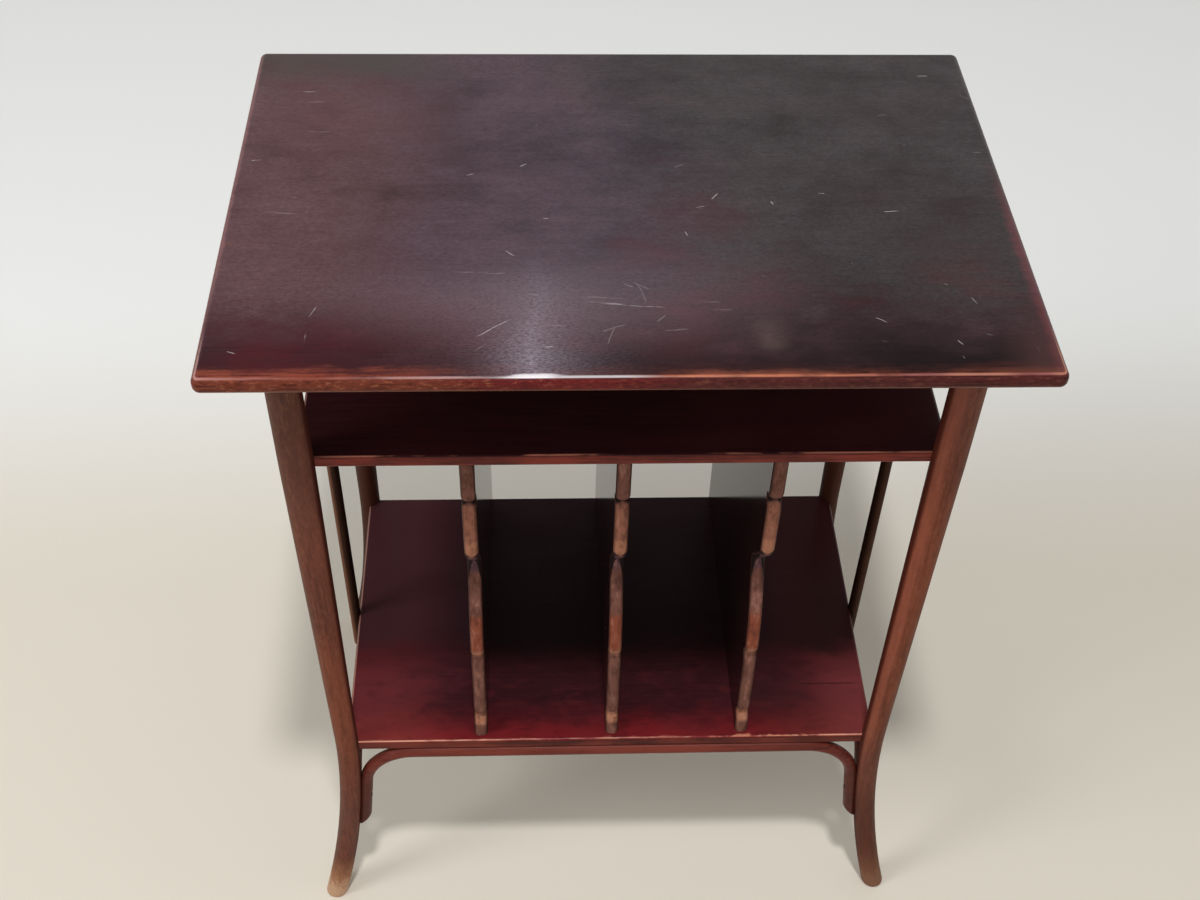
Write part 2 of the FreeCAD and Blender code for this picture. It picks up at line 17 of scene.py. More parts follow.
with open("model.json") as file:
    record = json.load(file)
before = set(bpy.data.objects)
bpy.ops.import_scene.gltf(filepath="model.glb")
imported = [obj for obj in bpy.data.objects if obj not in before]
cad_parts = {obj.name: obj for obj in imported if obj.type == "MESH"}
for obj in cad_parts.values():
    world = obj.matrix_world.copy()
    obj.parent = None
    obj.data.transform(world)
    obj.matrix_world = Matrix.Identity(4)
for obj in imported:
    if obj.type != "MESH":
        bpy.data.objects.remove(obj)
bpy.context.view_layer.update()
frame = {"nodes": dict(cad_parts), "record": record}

# Camera, standing in front and a little left of the middle, looking down
CAMERA_PLACE = Vector((-0.0665, -0.9965, 1.4694))
CAMERA_YAW = 0.05572
CAMERA_PITCH = 0.79084
CAMERA_ROLL = -0.03143
CAMERA_LENS = 47.4
SENSOR_WIDTH = 36.0

# Lights: place, aim, size across, power
KEY_LIGHT = ((-0.01, -1.32, 4.67), (0.0, 0.0, 0.45), 0.35, 90.0)
LEFT_LIGHT = ((-2.1, -0.9, 2.3), (0.0, 0.0, 0.4), 1.0, 24.0)

# Sky: strength all round and overhead, the fade between them by the sine of the height angle, and colour
SKY_LOW = 0.80
SKY_HIGH = 0.16
SKY_FADE = (0.58, 0.70)
SKY_COLOUR = (1.0, 0.99, 0.97, 1.0)

# Floor, made paler behind the table with painted light, where the lamps' light falls off and the table's
# shadow falls
FLOOR_SIZE = 24.0
FLOOR_COLOUR = (226, 219, 205)
FAR_FLOOR_LIGHT = (250, 251, 250)
FAR_FLOOR_LIGHT_FADE = (0.20, 0.80)
FLOOR_SHADE = dict(size=0.5, detail=2.0, roughness=0.5)
FLOOR_ROUGHNESS = (0.75, 0.85)

# Faces that meet at less than this angle are shaded as one curve
SMOOTH_ANGLE = math.radians(32)

# Woods: grain axis, tones from dark to light, seed, roughness from polished to dull, relief, mirror share
LOWER_SHELF_TONES = ((58, 24, 29), (66, 28, 33), (74, 32, 37))
APRON_TONES = ((74, 31, 25), (106, 47, 38), (122, 56, 44))
DOWEL_TONES = ((150, 116, 78), (186, 150, 106), (200, 166, 124))
WOODS = {
    "top_wood": ("X", ((20, 9, 11), (28, 13, 16), (36, 17, 21)), 1.0, (0.24, 0.30), 0.00002, 0.12),
    "mid_shelf_wood": ("X", ((46, 20, 23), (56, 24, 27), (66, 28, 31)), 13.0, (0.19, 0.23), 0.00003, 0.15),
    "lower_shelf_wood": ("X", LOWER_SHELF_TONES, 17.0, (0.22, 0.34), 0.00003, 0.10),
    "leg_wood": ("Z", ((82, 42, 30), (114, 62, 45), (128, 71, 52)), 21.0, (0.48, 0.62), 0.00008, 0.08),
    "divider_wood": ("Z", ((28, 13, 13), (40, 18, 17), (52, 23, 21)), 41.0, (0.12, 0.62), 0.00001, 0.08),
    "rod_wood": ("Z", ((40, 23, 16), (66, 40, 28), (84, 52, 37)), 51.0, (0.50, 0.64), 0.00005, 0.05),
    "apron_wood": ("X", APRON_TONES, 91.0, (0.30, 0.44), 0.00005, 0.12),
    "side_apron_wood": ("Y", APRON_TONES, 95.0, (0.30, 0.44), 0.00005, 0.12),
    "batten_wood": ("Y", ((40, 26, 22), (60, 40, 33), (72, 48, 39)), 61.0, (0.50, 0.65), 0.00006, 0.50),
    "dowel_wood": ("X", DOWEL_TONES, 71.0, (0.55, 0.70), 0.00006, 0.50),
}

# Patterns: how far a seed moves them along X, Y and Z
SEED_SHARES = (1.0, 1.7, 0.6)

# Grain of every wood: size across, stretch along its axis, detail and roughness of the pattern
GRAIN = dict(size=0.0024, stretch=26.0, detail=5.0, roughness=0.6)
PORES = dict(size=0.0008, stretch=14.0, detail=2.0, roughness=0.5)
CLOUDS = dict(size=0.075, stretch=2.4, detail=3.0, roughness=0.55)
PORE_SEED_STEP = 3.0
CLOUD_SEED_STEP = 7.0
CLOUD_STRENGTH = 0.70
PORE_STRENGTH = 0.45
PORE_SHADE = 0.5
PORE_SINK = -0.6

# Dull steel of the screws
STEEL_COLOUR = (138, 132, 124)
TARNISH_COLOUR = (84, 70, 58)
STEEL_FRECKLES = dict(size=0.0012, roughness=0.6, seed=81.0)
STEEL_ROUGHNESS = (0.32, 0.60)
STEEL_RELIEF = 0.00004

# Fades by how far a face looks up: to the edges of the boards, over their arrises, to the underside
TOP_LEVEL = (0.97, 0.99)
TOP_EDGE = (0.90, 0.65)
TOP_LOWER_RIM = (-0.15, -0.55)
TOP_ARRIS_START = (0.74, 0.84)
TOP_ARRIS_END = (0.97, 0.92)
SHELF_EDGE = (0.70, 0.35)
SHELF_ARRIS_START = (0.62, 0.80)
SHELF_ARRIS_END = (0.990, 0.95)
UNDERSIDE_FADE = (-0.80, -0.95)
UNDERSIDE = ((66, 40, 32), 1.0)

# Fades to the left and to the right of the table
LEFT_SIDE = (0.05, -0.05)
RIGHT_SIDE = (-0.05, 0.05)

# Table top: patterns
BROAD_DRIFT = dict(size=0.060, stretch=1.4, roughness=0.60, seed=5.0)
SMALL_DRIFT = dict(size=0.016, stretch=2.6, roughness=0.62, seed=9.0)
TOP_STREAKS = dict(size=0.0030, stretch=18.0, roughness=0.62, seed=23.0)
TOP_DUST = dict(size=0.0020, stretch=1.6, detail=3.0, roughness=0.6, seed=19.0)
TOP_BRUSHING = dict(size=0.0012, stretch=2.4, roughness=0.65, seed=27.0)
EDGE_SPECKLE = dict(size=0.0020, stretch=2.6, roughness=0.7, seed=15.0)
EDGE_SEAMS = dict(size=0.0022, stretch=22.0, roughness=0.6)
TOP_SEAM_SEED = 29.0
ARRIS_BREAKS = dict(size=0.020, stretch=4.0, roughness=0.6, seed=11.0)
SCRATCH_BREAKS = dict(size=0.0100, detail=3.0, roughness=0.6, seed=37.0)

# Table top: weights of the drift, how far it moves the borders of the tones, and their shift at the back
BROAD_WEIGHT = 2.2
SMALL_WEIGHT = 0.8
DRIFT_X = 0.06
DRIFT_Y = 0.035
BACK_SHIFT = 0.07
BACK_FADE = (0.06, 0.20)

# Table top: red stain at the left and in patches, by middle and reach, and black streaks in front
STAIN_RED = ((58, 25, 30), 0.90)
RED_FADE = (0.16, -0.26)
RED_DRIFT = 0.8
FRONT_RED = ((58, 14, 22), 0.75)
RED_PATCH_DRIFT = 1.6
RED_PATCHES = [
    ((-0.215, -0.172), (0.120, 0.060)),
    ((0.036, -0.176), (0.055, 0.045)),
    ((0.262, -0.116), (0.060, 0.030)),
    ((0.048, -0.020), (0.080, 0.060)),
    ((0.055, -0.100), (0.090, 0.045)),
    ((0.250, -0.095), (0.075, 0.060)),
]
FRONT_STREAKS = ((18, 8, 10), 0.55)
FRONT_STREAK_FADE = (-0.09, -0.15)

# Table top: a pale bloom, partly old polish and partly painted reflection, from rose at the left to grey at
# the right
BLOOM_SHEEN_SHARE = 0.17
BLOOM_SHEEN_ROSE = (184, 148, 151)
BLOOM_SHEEN_VIOLET = (148, 138, 156)
BLOOM_SHEEN_GREY = ((141, 136, 138), 1.0)
BLOOM_SHEEN_FRONT = ((150, 112, 122), 1.0)
ROSE_TO_VIOLET = (-0.25, -0.12)
VIOLET_TO_GREY = (-0.04, 0.12)
BLOOM_SHEEN_FRONT_FADE = (-0.10, -0.16)
BLOOM_SHEEN_START = (-0.205, -0.120)
BLOOM_SHEEN_SET_BACK = 0.018
SET_BACK_FADE = (-0.12, -0.22)
THIN_BLOOM_SHEEN = 0.78
THIN_RIGHT = (0.10, 0.22)
THIN_FRONT = (0.04, -0.06)
CORNER_GREY = ((66, 60, 56), 0.70)
CORNER_BACK = (0.140, 0.190)
CORNER_LEFT = (-0.02, -0.14)

# Table top: soft patches, by middle, reach, raggedness, layer and whether each one follows the streaks
# Patches of painted sheen, pale reflections on the upper face
SHEEN_PATCHES = [
    ((-0.215, 0.115), (0.085, 0.070), 1.4, ((124, 80, 80), 0.14), True),
    ((-0.100, -0.128), (0.210, 0.062), 0.9, ((176, 150, 160), 0.11), True),
]
FRONT_PATCHES = [
    ((0.096, -0.168), (0.020, 0.030), 1.2, ((142, 122, 112), 0.20), False),
    ((-0.255, -0.172), (0.085, 0.055), 1.2, ((98, 32, 37), 0.28), True),
    ((0.298, -0.188), (0.050, 0.075), 0.5, ((110, 73, 70), 0.33), False),
]

# Table top: a painted glare, a pale highlight towards the front edge, its halo of painted sheen, and the
# brushing that breaks it up
GLARE_HIGHLIGHT = ((166, 157, 170), 1.0)
GLARE_X = -0.066
GLARE_DRIFT = 0.014
GLARE_HALF_WIDTH = 0.017
GLARE_RUN = (-0.05, -0.23)
GLARE_HALO_SHEEN = ((160, 140, 150), 0.07)
GLARE_HALO_WIDTH = (0.180, 0.0)
GLARE_HALO_RUN = (0.03, -0.12)
GLARE_HALO_END = (-0.20, -0.15)
BRUSHED_DARK = ((30, 17, 20), 0.35)
BRUSHED_RUN = (-0.04, -0.13)

# Table top: rubbed borders of its upper face, with fades from the edge inwards and along it
FRONT_RIM_DRIFT = 1.8
SIDE_RIM_DRIFT = 1.2
FRONT_GLOW = ((128, 62, 47), 1.0)
FRONT_GLOW_RIM = (0.022, 0.004)
FRONT_GLOW_RUN = (-0.10, -0.20)
RIGHT_RED = ((118, 60, 64), 0.50)
RIGHT_RED_RIM = (0.018, 0.002)
RIGHT_RED_START = (0.06, -0.04)
RIGHT_RED_END = (-0.20, -0.15)
LEFT_ROSE = ((136, 88, 92), 0.40)
LEFT_ROSE_RIM = (0.008, 0.002)
LEFT_ROSE_END = (-0.19, -0.10)
FRONT_ORANGE = ((150, 86, 66), 1.0)
FRONT_ORANGE_RIM = (0.011, 0.003)
FRONT_ORANGE_START = (0.0, 0.06)
FRONT_ORANGE_END = (0.20, 0.10)

# Table top: its edge, tan at the left, red in the middle and brown at the right
EDGE_TAN = (106, 49, 35)
EDGE_RED = (98, 29, 29)
EDGE_BROWN = ((76, 32, 31), 1.0)
TAN_TO_RED = (-0.16, -0.08)
RED_TO_BROWN = (-0.04, 0.06)
EDGE_PALE = ((168, 104, 74), 1.0)
EDGE_PALE_FADE = (0.04, -0.14)
EDGE_DARK = ((42, 16, 15), 0.60)
EDGE_SEAM = ((36, 14, 13), 0.60)
EDGE_UNDER = ((124, 84, 62), 0.50)

# Table top: rubbed runs of its front arris, each with the fades at its start and end and its layer
ARRIS_FRONT = (-0.15, -0.19)
ARRIS_RUNS = [
    (None, (-0.08, -0.12), ((206, 160, 156), 0.45)),
    ((-0.02, 0.05), (0.22, 0.12), ((200, 118, 84), 0.75)),
    ((0.12, 0.20), None, ((168, 104, 104), 0.55)),
]
ARRIS_TAN = ((204, 142, 108), 0.40)
TAN_START = (0.205, 0.225)
TAN_END = (0.272, 0.250)
TAN_TIP = (0.284, 0.295)

# Table top: a painted glint, a highlight where the painted glare meets the front arris, with a thin tail to
# the right
GLINT = ((230, 224, 228), 1.0)
GLINT_START = (-0.104, -0.074)
GLINT_END = (-0.040, -0.064)
GLINT_STRENGTH = 0.95
GLINT_TAIL_END = (0.025, -0.010)
GLINT_TAIL_STRENGTH = 0.50
GLINT_RIM = (0.0035, 0.0015)
GLINT_SPREAD = 0.0030
GLINT_DRIFT = 0.008

# Table top: scratches, each with its start and end, and small ones scattered over the rest
SCRATCHES = [
    ((-0.022, -0.129), (0.024, -0.134)),
    ((-0.109, -0.163), (-0.084, -0.146)),
    ((-0.224, -0.132), (-0.227, -0.142)),
    ((-0.227, -0.158), (-0.228, -0.168)),
    ((-0.280, -0.178), (-0.274, -0.181)),
    ((-0.062, -0.028), (-0.057, -0.028)),
    ((-0.062, -0.175), (-0.056, -0.175)),
    ((0.174, -0.146), (0.182, -0.150)),
    ((0.249, -0.124), (0.253, -0.131)),
    ((0.229, -0.170), (0.232, -0.175)),
    ((-0.258, 0.145), (-0.244, 0.145)),
    ((0.201, -0.021), (0.213, -0.021)),
    ((-0.290, 0.047), (-0.282, 0.047)),
    ((-0.078, 0.039), (-0.073, 0.042)),
    ((-0.121, 0.026), (-0.115, 0.028)),
    ((0.070, -0.004), (0.074, 0.002)),
    ((0.114, -0.009), (0.115, -0.013)),
    ((0.152, 0.002), (0.157, 0.002)),
    ((0.045, -0.044), (0.047, -0.050)),
    ((-0.090, -0.068), (-0.084, -0.074)),
    ((0.258, 0.169), (0.268, 0.170)),
]
FAINT_SCRATCHES = [
    ((-0.034, -0.127), (-0.003, -0.130)),
    ((0.003, -0.105), (0.014, -0.113)),
    ((0.006, -0.107), (0.011, -0.127)),
    ((-0.019, -0.173), (-0.009, -0.155)),
    ((0.017, -0.148), (0.024, -0.142)),
    ((-0.126, -0.092), (-0.088, -0.094)),
    ((-0.110, -0.180), (-0.102, -0.171)),
    ((0.050, -0.128), (0.066, -0.129)),
    ((0.058, -0.137), (0.076, -0.136)),
    ((0.022, -0.157), (0.040, -0.157)),
    ((-0.060, -0.152), (-0.048, -0.153)),
    ((-0.250, 0.088), (-0.232, 0.086)),
    ((-0.272, -0.020), (-0.246, -0.022)),
    ((-0.262, 0.128), (-0.240, 0.131)),
    ((-0.036, -0.122), (0.000, -0.124)),
    ((0.243, -0.162), (0.255, -0.166)),
    ((0.229, -0.188), (0.230, -0.191)),
    ((0.283, -0.178), (0.283, -0.183)),
    ((-0.020, -0.160), (-0.002, -0.152)),
]
SCRATCH_PALE = ((190, 180, 180), 0.75)
SCRATCH_WIDTH = 0.0005
FAINT_WIDTH = 0.0008
FAINT_STRENGTH = 0.25
SCRATCH_BEND = 0.030
SCRATCH_SWAY = 0.008
SPECK_SPACING = 0.060
SPECK_WIDTH = 0.0006
SPECK_LENGTH = 0.005
SPECK_TURN = 0.9
SPECK_OFFSET = (2.0, 2.6, 0.0)
SPECK_CHANCE = (0.55, 0.75)
SPECK_SOFT = 0.4
SPECK_STRENGTH = 0.50

# Lines and patches: fades, as shares of a line's width, of its half length and of a patch's reach
LINE_CORE = 0.2
LINE_END = 1.15
LINE_SOLID = 0.6
PATCH_FADE = (1.0, -0.1)

# Both shelves: the rubbed rim along their front and left edges, and dark seams in the edges
SHELF_RIM = (0.006, 0.004)
FRONT_RIM_STRENGTH = 0.75
LEFT_RIM_STRENGTH = 0.35
SHELF_BREAKS = dict(size=0.018, stretch=4.0, roughness=0.6)
SHELF_SEAM = ((40, 15, 13), 0.60)
SEAM_SEED_STEP = 2.0

# Mid shelf: dark and light of its edge, its rubbed arris and seed, and the shade under the top
MID_SHELF_EDGE = ((88, 30, 24), (124, 48, 37), (196, 122, 98), 15.0)
MID_SHELF_SHADE = ((27, 16, 23), 1.0)
MID_SHADE_START = (0.070, 0.125)
MID_SHADE_INNER = (0.19, 0.12)

# Lower shelf: dark and light of its edge, its rubbed arris and seed
LOWER_SHELF_EDGE = ((76, 27, 22), (112, 46, 36), (226, 170, 144), 19.0)

# Lower shelf: patterns, and how far they move the borders of its tones
SHELF_CLOUD = dict(size=0.030, stretch=1.6, roughness=0.6, seed=18.0)
SHELF_CLOUD_REACH = 0.045
SHELF_MOTTLE = dict(size=0.012, stretch=2.0, roughness=0.62, seed=20.0)
SHELF_CHIPS = dict(size=0.010, stretch=2.5, roughness=0.65, seed=22.0)
SHELF_CHIP_REACH = 0.014

# Lower shelf: layers, with fades from the middle outwards, along X, and from the front edge backwards
# Painted light: lighter and redder in the outer bays and along the front edge
OUTER_LIT_RED = ((98, 40, 44), 0.90)
OUTER_LIT_FADE = (0.135, 0.215)
LIT_FRONT_INNER = (116, 31, 35)
LIT_FRONT_OUTER = (136, 54, 51)
LIT_FRONT_RIM = (0.045, -0.004)
MOTTLE_DARK = ((46, 18, 22), 0.28)
MOTTLE_LIGHT = ((114, 42, 44), 0.22)
MOTTLE_RUN = (0.120, 0.070)
RIGHT_FRONT_RED = ((70, 26, 26), 0.48)
RIGHT_FRONT_X = (0.11, 0.17)
RIGHT_FRONT_RUN = (0.060, 0.020)
DARK_SPOT = ((46, 22, 25), 0.40)
DARK_SPOT_X = 0.168
DARK_SPOT_BACK = 0.066
DARK_SPOT_REACH = (0.045, 0.050)
DARK_SPOT_DRIFT = 0.9
# Painted light on the right end
LIT_RIGHT_END = ((132, 60, 62), 0.45)
LIT_RIGHT_END_X = (0.185, 0.240)
# Painted shade at the back, greyed by painted reflection, darkest between the dividers
SHADED_BACK_LEFT = ((78, 44, 48), 0.95)
SHADED_BACK_LEFT_X = (-0.12, -0.22)
SHADED_BACK_RIGHT = ((56, 30, 31), 0.90)
SHADED_BACK_RIGHT_X = (0.12, 0.22)
SHADED_BACK_RIGHT_RUN = (0.090, 0.112)
SHADED_BACK_MIDDLE = ((50, 28, 34), 0.90)
SHADED_BACK_MIDDLE_X = (0.20, 0.12)
SHADED_BACK_RUN = (0.100, 0.122)
CHIPPED_TAN = ((216, 142, 112), 1.0)
CHIPPED_X = (0.06, 0.13)
CHIPPED_RIM = (0.0022, 0.0006)

# Lower shelf: a joint in its board, from start to end
SHELF_JOINT = ((0.181, -0.094), (0.241, -0.094))
JOINT_WIDTH = 0.001
JOINT_DARK = ((30, 12, 14), 0.70)

# Legs: patterns
LEG_RUBS = dict(size=0.045, along="Z", stretch=4.0, detail=3.0, roughness=0.55, seed=31.0)
LEG_FLECKS = dict(size=0.0032, along="Z", stretch=3.0, roughness=0.7, seed=33.0)
LEG_STREAKS = dict(size=0.0040, along="Z", stretch=9.0, roughness=0.65, seed=35.0)

# Legs: layers, with fades by height and by how far a face looks away from the table's middle
LEG_RUBBED = ((134, 72, 50), 0.50)
RIGHT_RUB_START = (0.18, 0.38)
RIGHT_RUB_END = (0.62, 0.48)
LEFT_RUB_START = (0.12, 0.24)
LEFT_RUB_END = (0.44, 0.34)
LEG_UPPER_LEFT = ((72, 56, 53), 0.58)
UPPER_LEFT_FADE = (0.34, 0.68)
# Painted light on the upper part of the right leg
LEG_UPPER_RIGHT_LIGHT = ((112, 70, 62), 0.50)
UPPER_RIGHT_LIGHT_FADE = (0.56, 0.70)
LEG_STREAK = ((64, 35, 27), 0.30)
LIGHT_FLECK = ((142, 92, 70), 0.22)
DARK_FLECK = ((58, 30, 23), 0.22)
LEG_DUST = ((100, 67, 59), 0.50)
LEG_DUST_FADE = (0.30, 0.12)
DARK_SHIN = ((62, 32, 23), 0.50)
DARK_SHIN_FADE = (0.20, 0.12)
LEG_OUTSIDE = ((96, 76, 62), 0.35)
LEG_OUTSIDE_FACING = (0.45, 0.95)
# Painted light on the inner sides of the legs, most on the right leg
LEG_INSIDE_LIGHT = ((176, 98, 76), 1.0)
LEG_INSIDE_LIGHT_FACING = (-0.10, -0.55)
LEG_INSIDE_LIGHT_FADE = (0.16, 0.28)
# Painted shade on the side that faces the table's middle
LEG_INNERMOST_SHADE = ((60, 19, 12), 0.85)
LEG_INNERMOST_SHADE_FACING = (-0.80, -0.96)
# Painted shade on the rear legs, which are also less rubbed
REAR_LEG_UNWORN_AND_SHADED = ((48, 25, 18), 0.78)
REAR_SHADE_FADE = (-0.08, 0.08)
BARE_FOOT = ((156, 110, 78), 0.78)
BARE_FOOT_FADE = (0.066, 0.022)
BARE_TIP = ((188, 152, 124), 1.0)
BARE_TIP_FADE = (0.032, 0.012)
BARE_RAGGED = 0.045

# Dividers: spacing, the part of their depth that the front edge takes up, and its layers
DIVIDER_SPACING = 0.1215
DIVIDER_FRONT = (-0.08, -0.10)
DIVIDER_MOTTLE = dict(size=0.006, along="Z", stretch=3.0, roughness=0.68, seed=43.0)
SCROLL_BROWN = ((108, 70, 60), 1.0)
SCROLL_LIGHT = ((186, 132, 116), 0.25)
SCROLL_DARK = ((66, 38, 32), 0.55)
# Painted shade on the flanks of the rounded front edge and in its nicks
SCROLL_FLANK_SHADE = ((30, 16, 16), 0.60)
SCROLL_NICK_SHADE = ((18, 10, 12), 0.95)
NICK_SHADE_FADE = (0.002, -0.006)

# Dividers: fades by how far a face looks sideways, to the front edge, its rounding and its flanks
SCROLL_FACING = (0.99, 0.80)
ROUNDED_FACING = (0.9995, 0.99)
SHADED_FLANK_FACING = (0.45, 0.95)

# Front edges of the dividers: bare on the ledges, orange on the belly, plum in the hollow, painted shade at
# the step
BARE_TAN = (152, 102, 79)
RUBBED_BROWN = (137, 88, 71)
BELLY_ORANGE = (124, 65, 47)
HOLLOW_PLUM = (79, 53, 61)
STEP_SHADE = (70, 42, 35)

# Stretches of those edges: bottom and top level, as shares of the height, and tone
STRETCH_BLUR = 0.008
SCROLL_STRETCHES = [
    (0.042, 0.075, BARE_TAN),
    (0.295, 0.330, BARE_TAN),
    (0.330, 0.440, BELLY_ORANGE),
    (0.550, 0.688, HOLLOW_PLUM),
    (0.688, 0.745, BARE_TAN),
    (0.745, 0.856, RUBBED_BROWN),
    (0.856, 0.874, STEP_SHADE),
]

# Nicks in those edges, darkened with painted shade: level, as a share, and how fast each widens towards the
# board's faces, per metre
SHADED_NICKS = [(0.300, 1.5), (0.600, 14.0), (0.690, 2.4), (0.860, 2.0)]

# Side rods: layers of painted light on the outside of the left rod, and of painted shade inside
ROD_OUTSIDE_LIGHT = ((124, 82, 60), 0.60)
ROD_LIT_FACING = (0.0, 0.7)
ROD_INSIDE_SHADE = ((24, 13, 10), 0.55)
ROD_SHADED_FACING = (0.1, -0.6)

# Aprons: darker down their arms
APRON_ARM = ((58, 30, 22), 0.55)
APRON_ARM_FADE = (0.200, 0.165)

# Sockets of the colour mixing node
MIX_SHARE = 0
MIX_FIRST = 6
MIX_SECOND = 7
MIX_RESULT = 2


def linear(colour, strength=1.0):
    """A colour as written, 0 to 255, in the linear values that shaders take."""
    shares = [channel / 255 for channel in colour]
    values = [share / 12.92 if share <= 0.04045 else ((share + 0.055) / 1.055) ** 2.4 for share in shares]
    return tuple(value * strength for value in values) + (1.0,)


class Finish:
    """A procedural material: short calls add its nodes, which end in the shader's own sockets."""

    def __init__(self, name):
        self.material = bpy.data.materials.new(name)
        self.material.use_nodes = True
        self.nodes = self.material.node_tree.nodes
        self.links = self.material.node_tree.links
        self.shader = self.nodes["Principled BSDF"]
        coordinates = self.add("ShaderNodeTexCoord")
        self.place = coordinates.outputs["Object"]
        self.drawn = self.place
        self.x, self.y, self.z = self.split(self.place)
        sideways, _, self.facing_up = self.split(coordinates.outputs["Normal"])
        self.facing_side = self.math("ABSOLUTE", sideways)
        self.facing_out = self.math("MULTIPLY", sideways, self.math("SIGN", self.x))

    def add(self, kind, **settings):
        """A new node with its settings."""
        node = self.nodes.new(kind)
        for name, value in settings.items():
            setattr(node, name, value)
        return node

    def feed(self, socket, value):
        """Links a socket to another node's output, or sets it to a constant."""
        if isinstance(value, bpy.types.NodeSocket):
            self.links.new(value, socket)
        else:
            socket.default_value = value

    def split(self, vector):
        """The X, Y and Z of a vector."""
        node = self.add("ShaderNodeSeparateXYZ")
        self.feed(node.inputs[0], vector)
        return node.outputs[0], node.outputs[1], node.outputs[2]

    def math(self, operation, *values):
        """The result of one operation on values."""
        node = self.add("ShaderNodeMath", operation=operation)
        for socket, value in zip(node.inputs, values):
            self.feed(socket, value)
        return node.outputs[0]

    def length(self, vector):
        """How long a vector is."""
        node = self.add("ShaderNodeVectorMath", operation="LENGTH")
        self.feed(node.inputs[0], vector)
        return node.outputs["Value"]

    def vector(self, operation, first, second):
        """The result of one operation on two vectors."""
        node = self.add("ShaderNodeVectorMath", operation=operation)
        self.feed(node.inputs[0], first)
        self.feed(node.inputs[1], second)
        return node.outputs["Value"] if operation == "DOT_PRODUCT" else node.outputs["Vector"]

    def step(self, value, start, end):
        """0 on the start's side, 1 past the end, smooth between."""
        node = self.add("ShaderNodeMapRange", interpolation_type="SMOOTHSTEP")
        self.feed(node.inputs["Value"], value)
        node.inputs["From Min"].default_value = start
        node.inputs["From Max"].default_value = end
        return node.outputs["Result"]

    def within(self, value, start, end):
        """1 between the fades at a start and an end, one of which may be left out."""
        return self.times(*[self.step(value, *fade) for fade in (start, end) if fade])

    def scale(self, value, low, high):
        """A share from 0 to 1 turned to a range."""
        node = self.add("ShaderNodeMapRange")
        self.feed(node.inputs["Value"], value)
        node.inputs["To Min"].default_value = low
        node.inputs["To Max"].default_value = high
        return node.outputs["Result"]

    def times(self, *shares):
        """The product of shares."""
        result = shares[0]
        for share in shares[1:]:
            result = self.math("MULTIPLY", result, share)
        return result

    def either(self, *shares):
        """The largest of shares."""
        result = shares[0]
        for share in shares[1:]:
            result = self.math("MAXIMUM", result, share)
        return result

    def mix(self, share, first, second):
        """The first colour, turned to the second by a share."""
        node = self.add("ShaderNodeMix", data_type="RGBA")
        self.feed(node.inputs[MIX_SHARE], share)
        self.feed(node.inputs[MIX_FIRST], first)
        self.feed(node.inputs[MIX_SECOND], second)
        return node.outputs[MIX_RESULT]

    def tint(self, tone, layer, *shares):
        """A tone, covered by a layer as far as all of some shares allow."""
        colour, strength = layer
        return self.mix(self.times(*shares, strength), tone, linear(colour))

    def noise(self, size, along="X", stretch=1.0, detail=4.0, roughness=0.55, seed=0.0):
        """Noise with features of a size in metres, drawn out along one axis."""
        scales = [1 / size] * 3
        scales["XYZ".index(along)] /= stretch
        scaled = self.vector("MULTIPLY", self.place, tuple(scales))
        moved = self.vector("ADD", scaled, tuple(seed * share for share in SEED_SHARES))
        node = self.add("ShaderNodeTexNoise")
        self.feed(node.inputs["Vector"], moved)
        node.inputs["Scale"].default_value = 1.0
        node.inputs["Detail"].default_value = detail
        node.inputs["Roughness"].default_value = roughness
        return node.outputs[0]

    def around_zero(self, pattern):
        """A pattern from 0 to 1, moved down by half."""
        return self.math("SUBTRACT", pattern, 0.5)

    def shifted(self, value, pattern, reach):
        """A value moved by a pattern, as far as a reach."""
        return self.math("ADD", value, self.times(pattern, reach))

    def patch(self, middle, reach, ragged):
        """A soft patch on a level face: 1 in the middle, 0 past its reach along X and Y."""
        offset = self.vector("SUBTRACT", self.place, (middle[0], middle[1], 0.0))
        shares = self.vector("MULTIPLY", offset, (1 / reach[0], 1 / reach[1], 0.0))
        return self.step(self.math("ADD", self.length(shares), ragged), *PATCH_FADE)

    def bend_lines(self, size, reach):
        """Bends the lines drawn after this over a size, by up to half a reach."""
        node = self.add("ShaderNodeTexNoise")
        self.feed(node.inputs["Vector"], self.place)
        node.inputs["Scale"].default_value = 1 / size
        node.inputs["Detail"].default_value = 2.0
        away = self.vector("SUBTRACT", node.outputs["Color"], (0.5, 0.5, 0.5))
        self.drawn = self.vector("ADD", self.place, self.vector("MULTIPLY", away, (reach, reach, 0.0)))

    def line(self, start, end, width):
        """A scratch along a straight line on a level face, fading at its ends."""
        first = Vector((start[0], start[1], 0.0))
        last = Vector((end[0], end[1], 0.0))
        direction = (last - first).normalized()
        half = (last - first).length / 2
        offset = self.vector("SUBTRACT", self.drawn, tuple((first + last) / 2))
        along = self.math("ABSOLUTE", self.vector("DOT_PRODUCT", offset, tuple(direction)))
        side = (-direction.y, direction.x, 0.0)
        across = self.math("ABSOLUTE", self.vector("DOT_PRODUCT", offset, side))
        thin = self.step(across, width, width * LINE_CORE)
        return self.times(thin, self.step(along, half * LINE_END, half * LINE_SOLID))

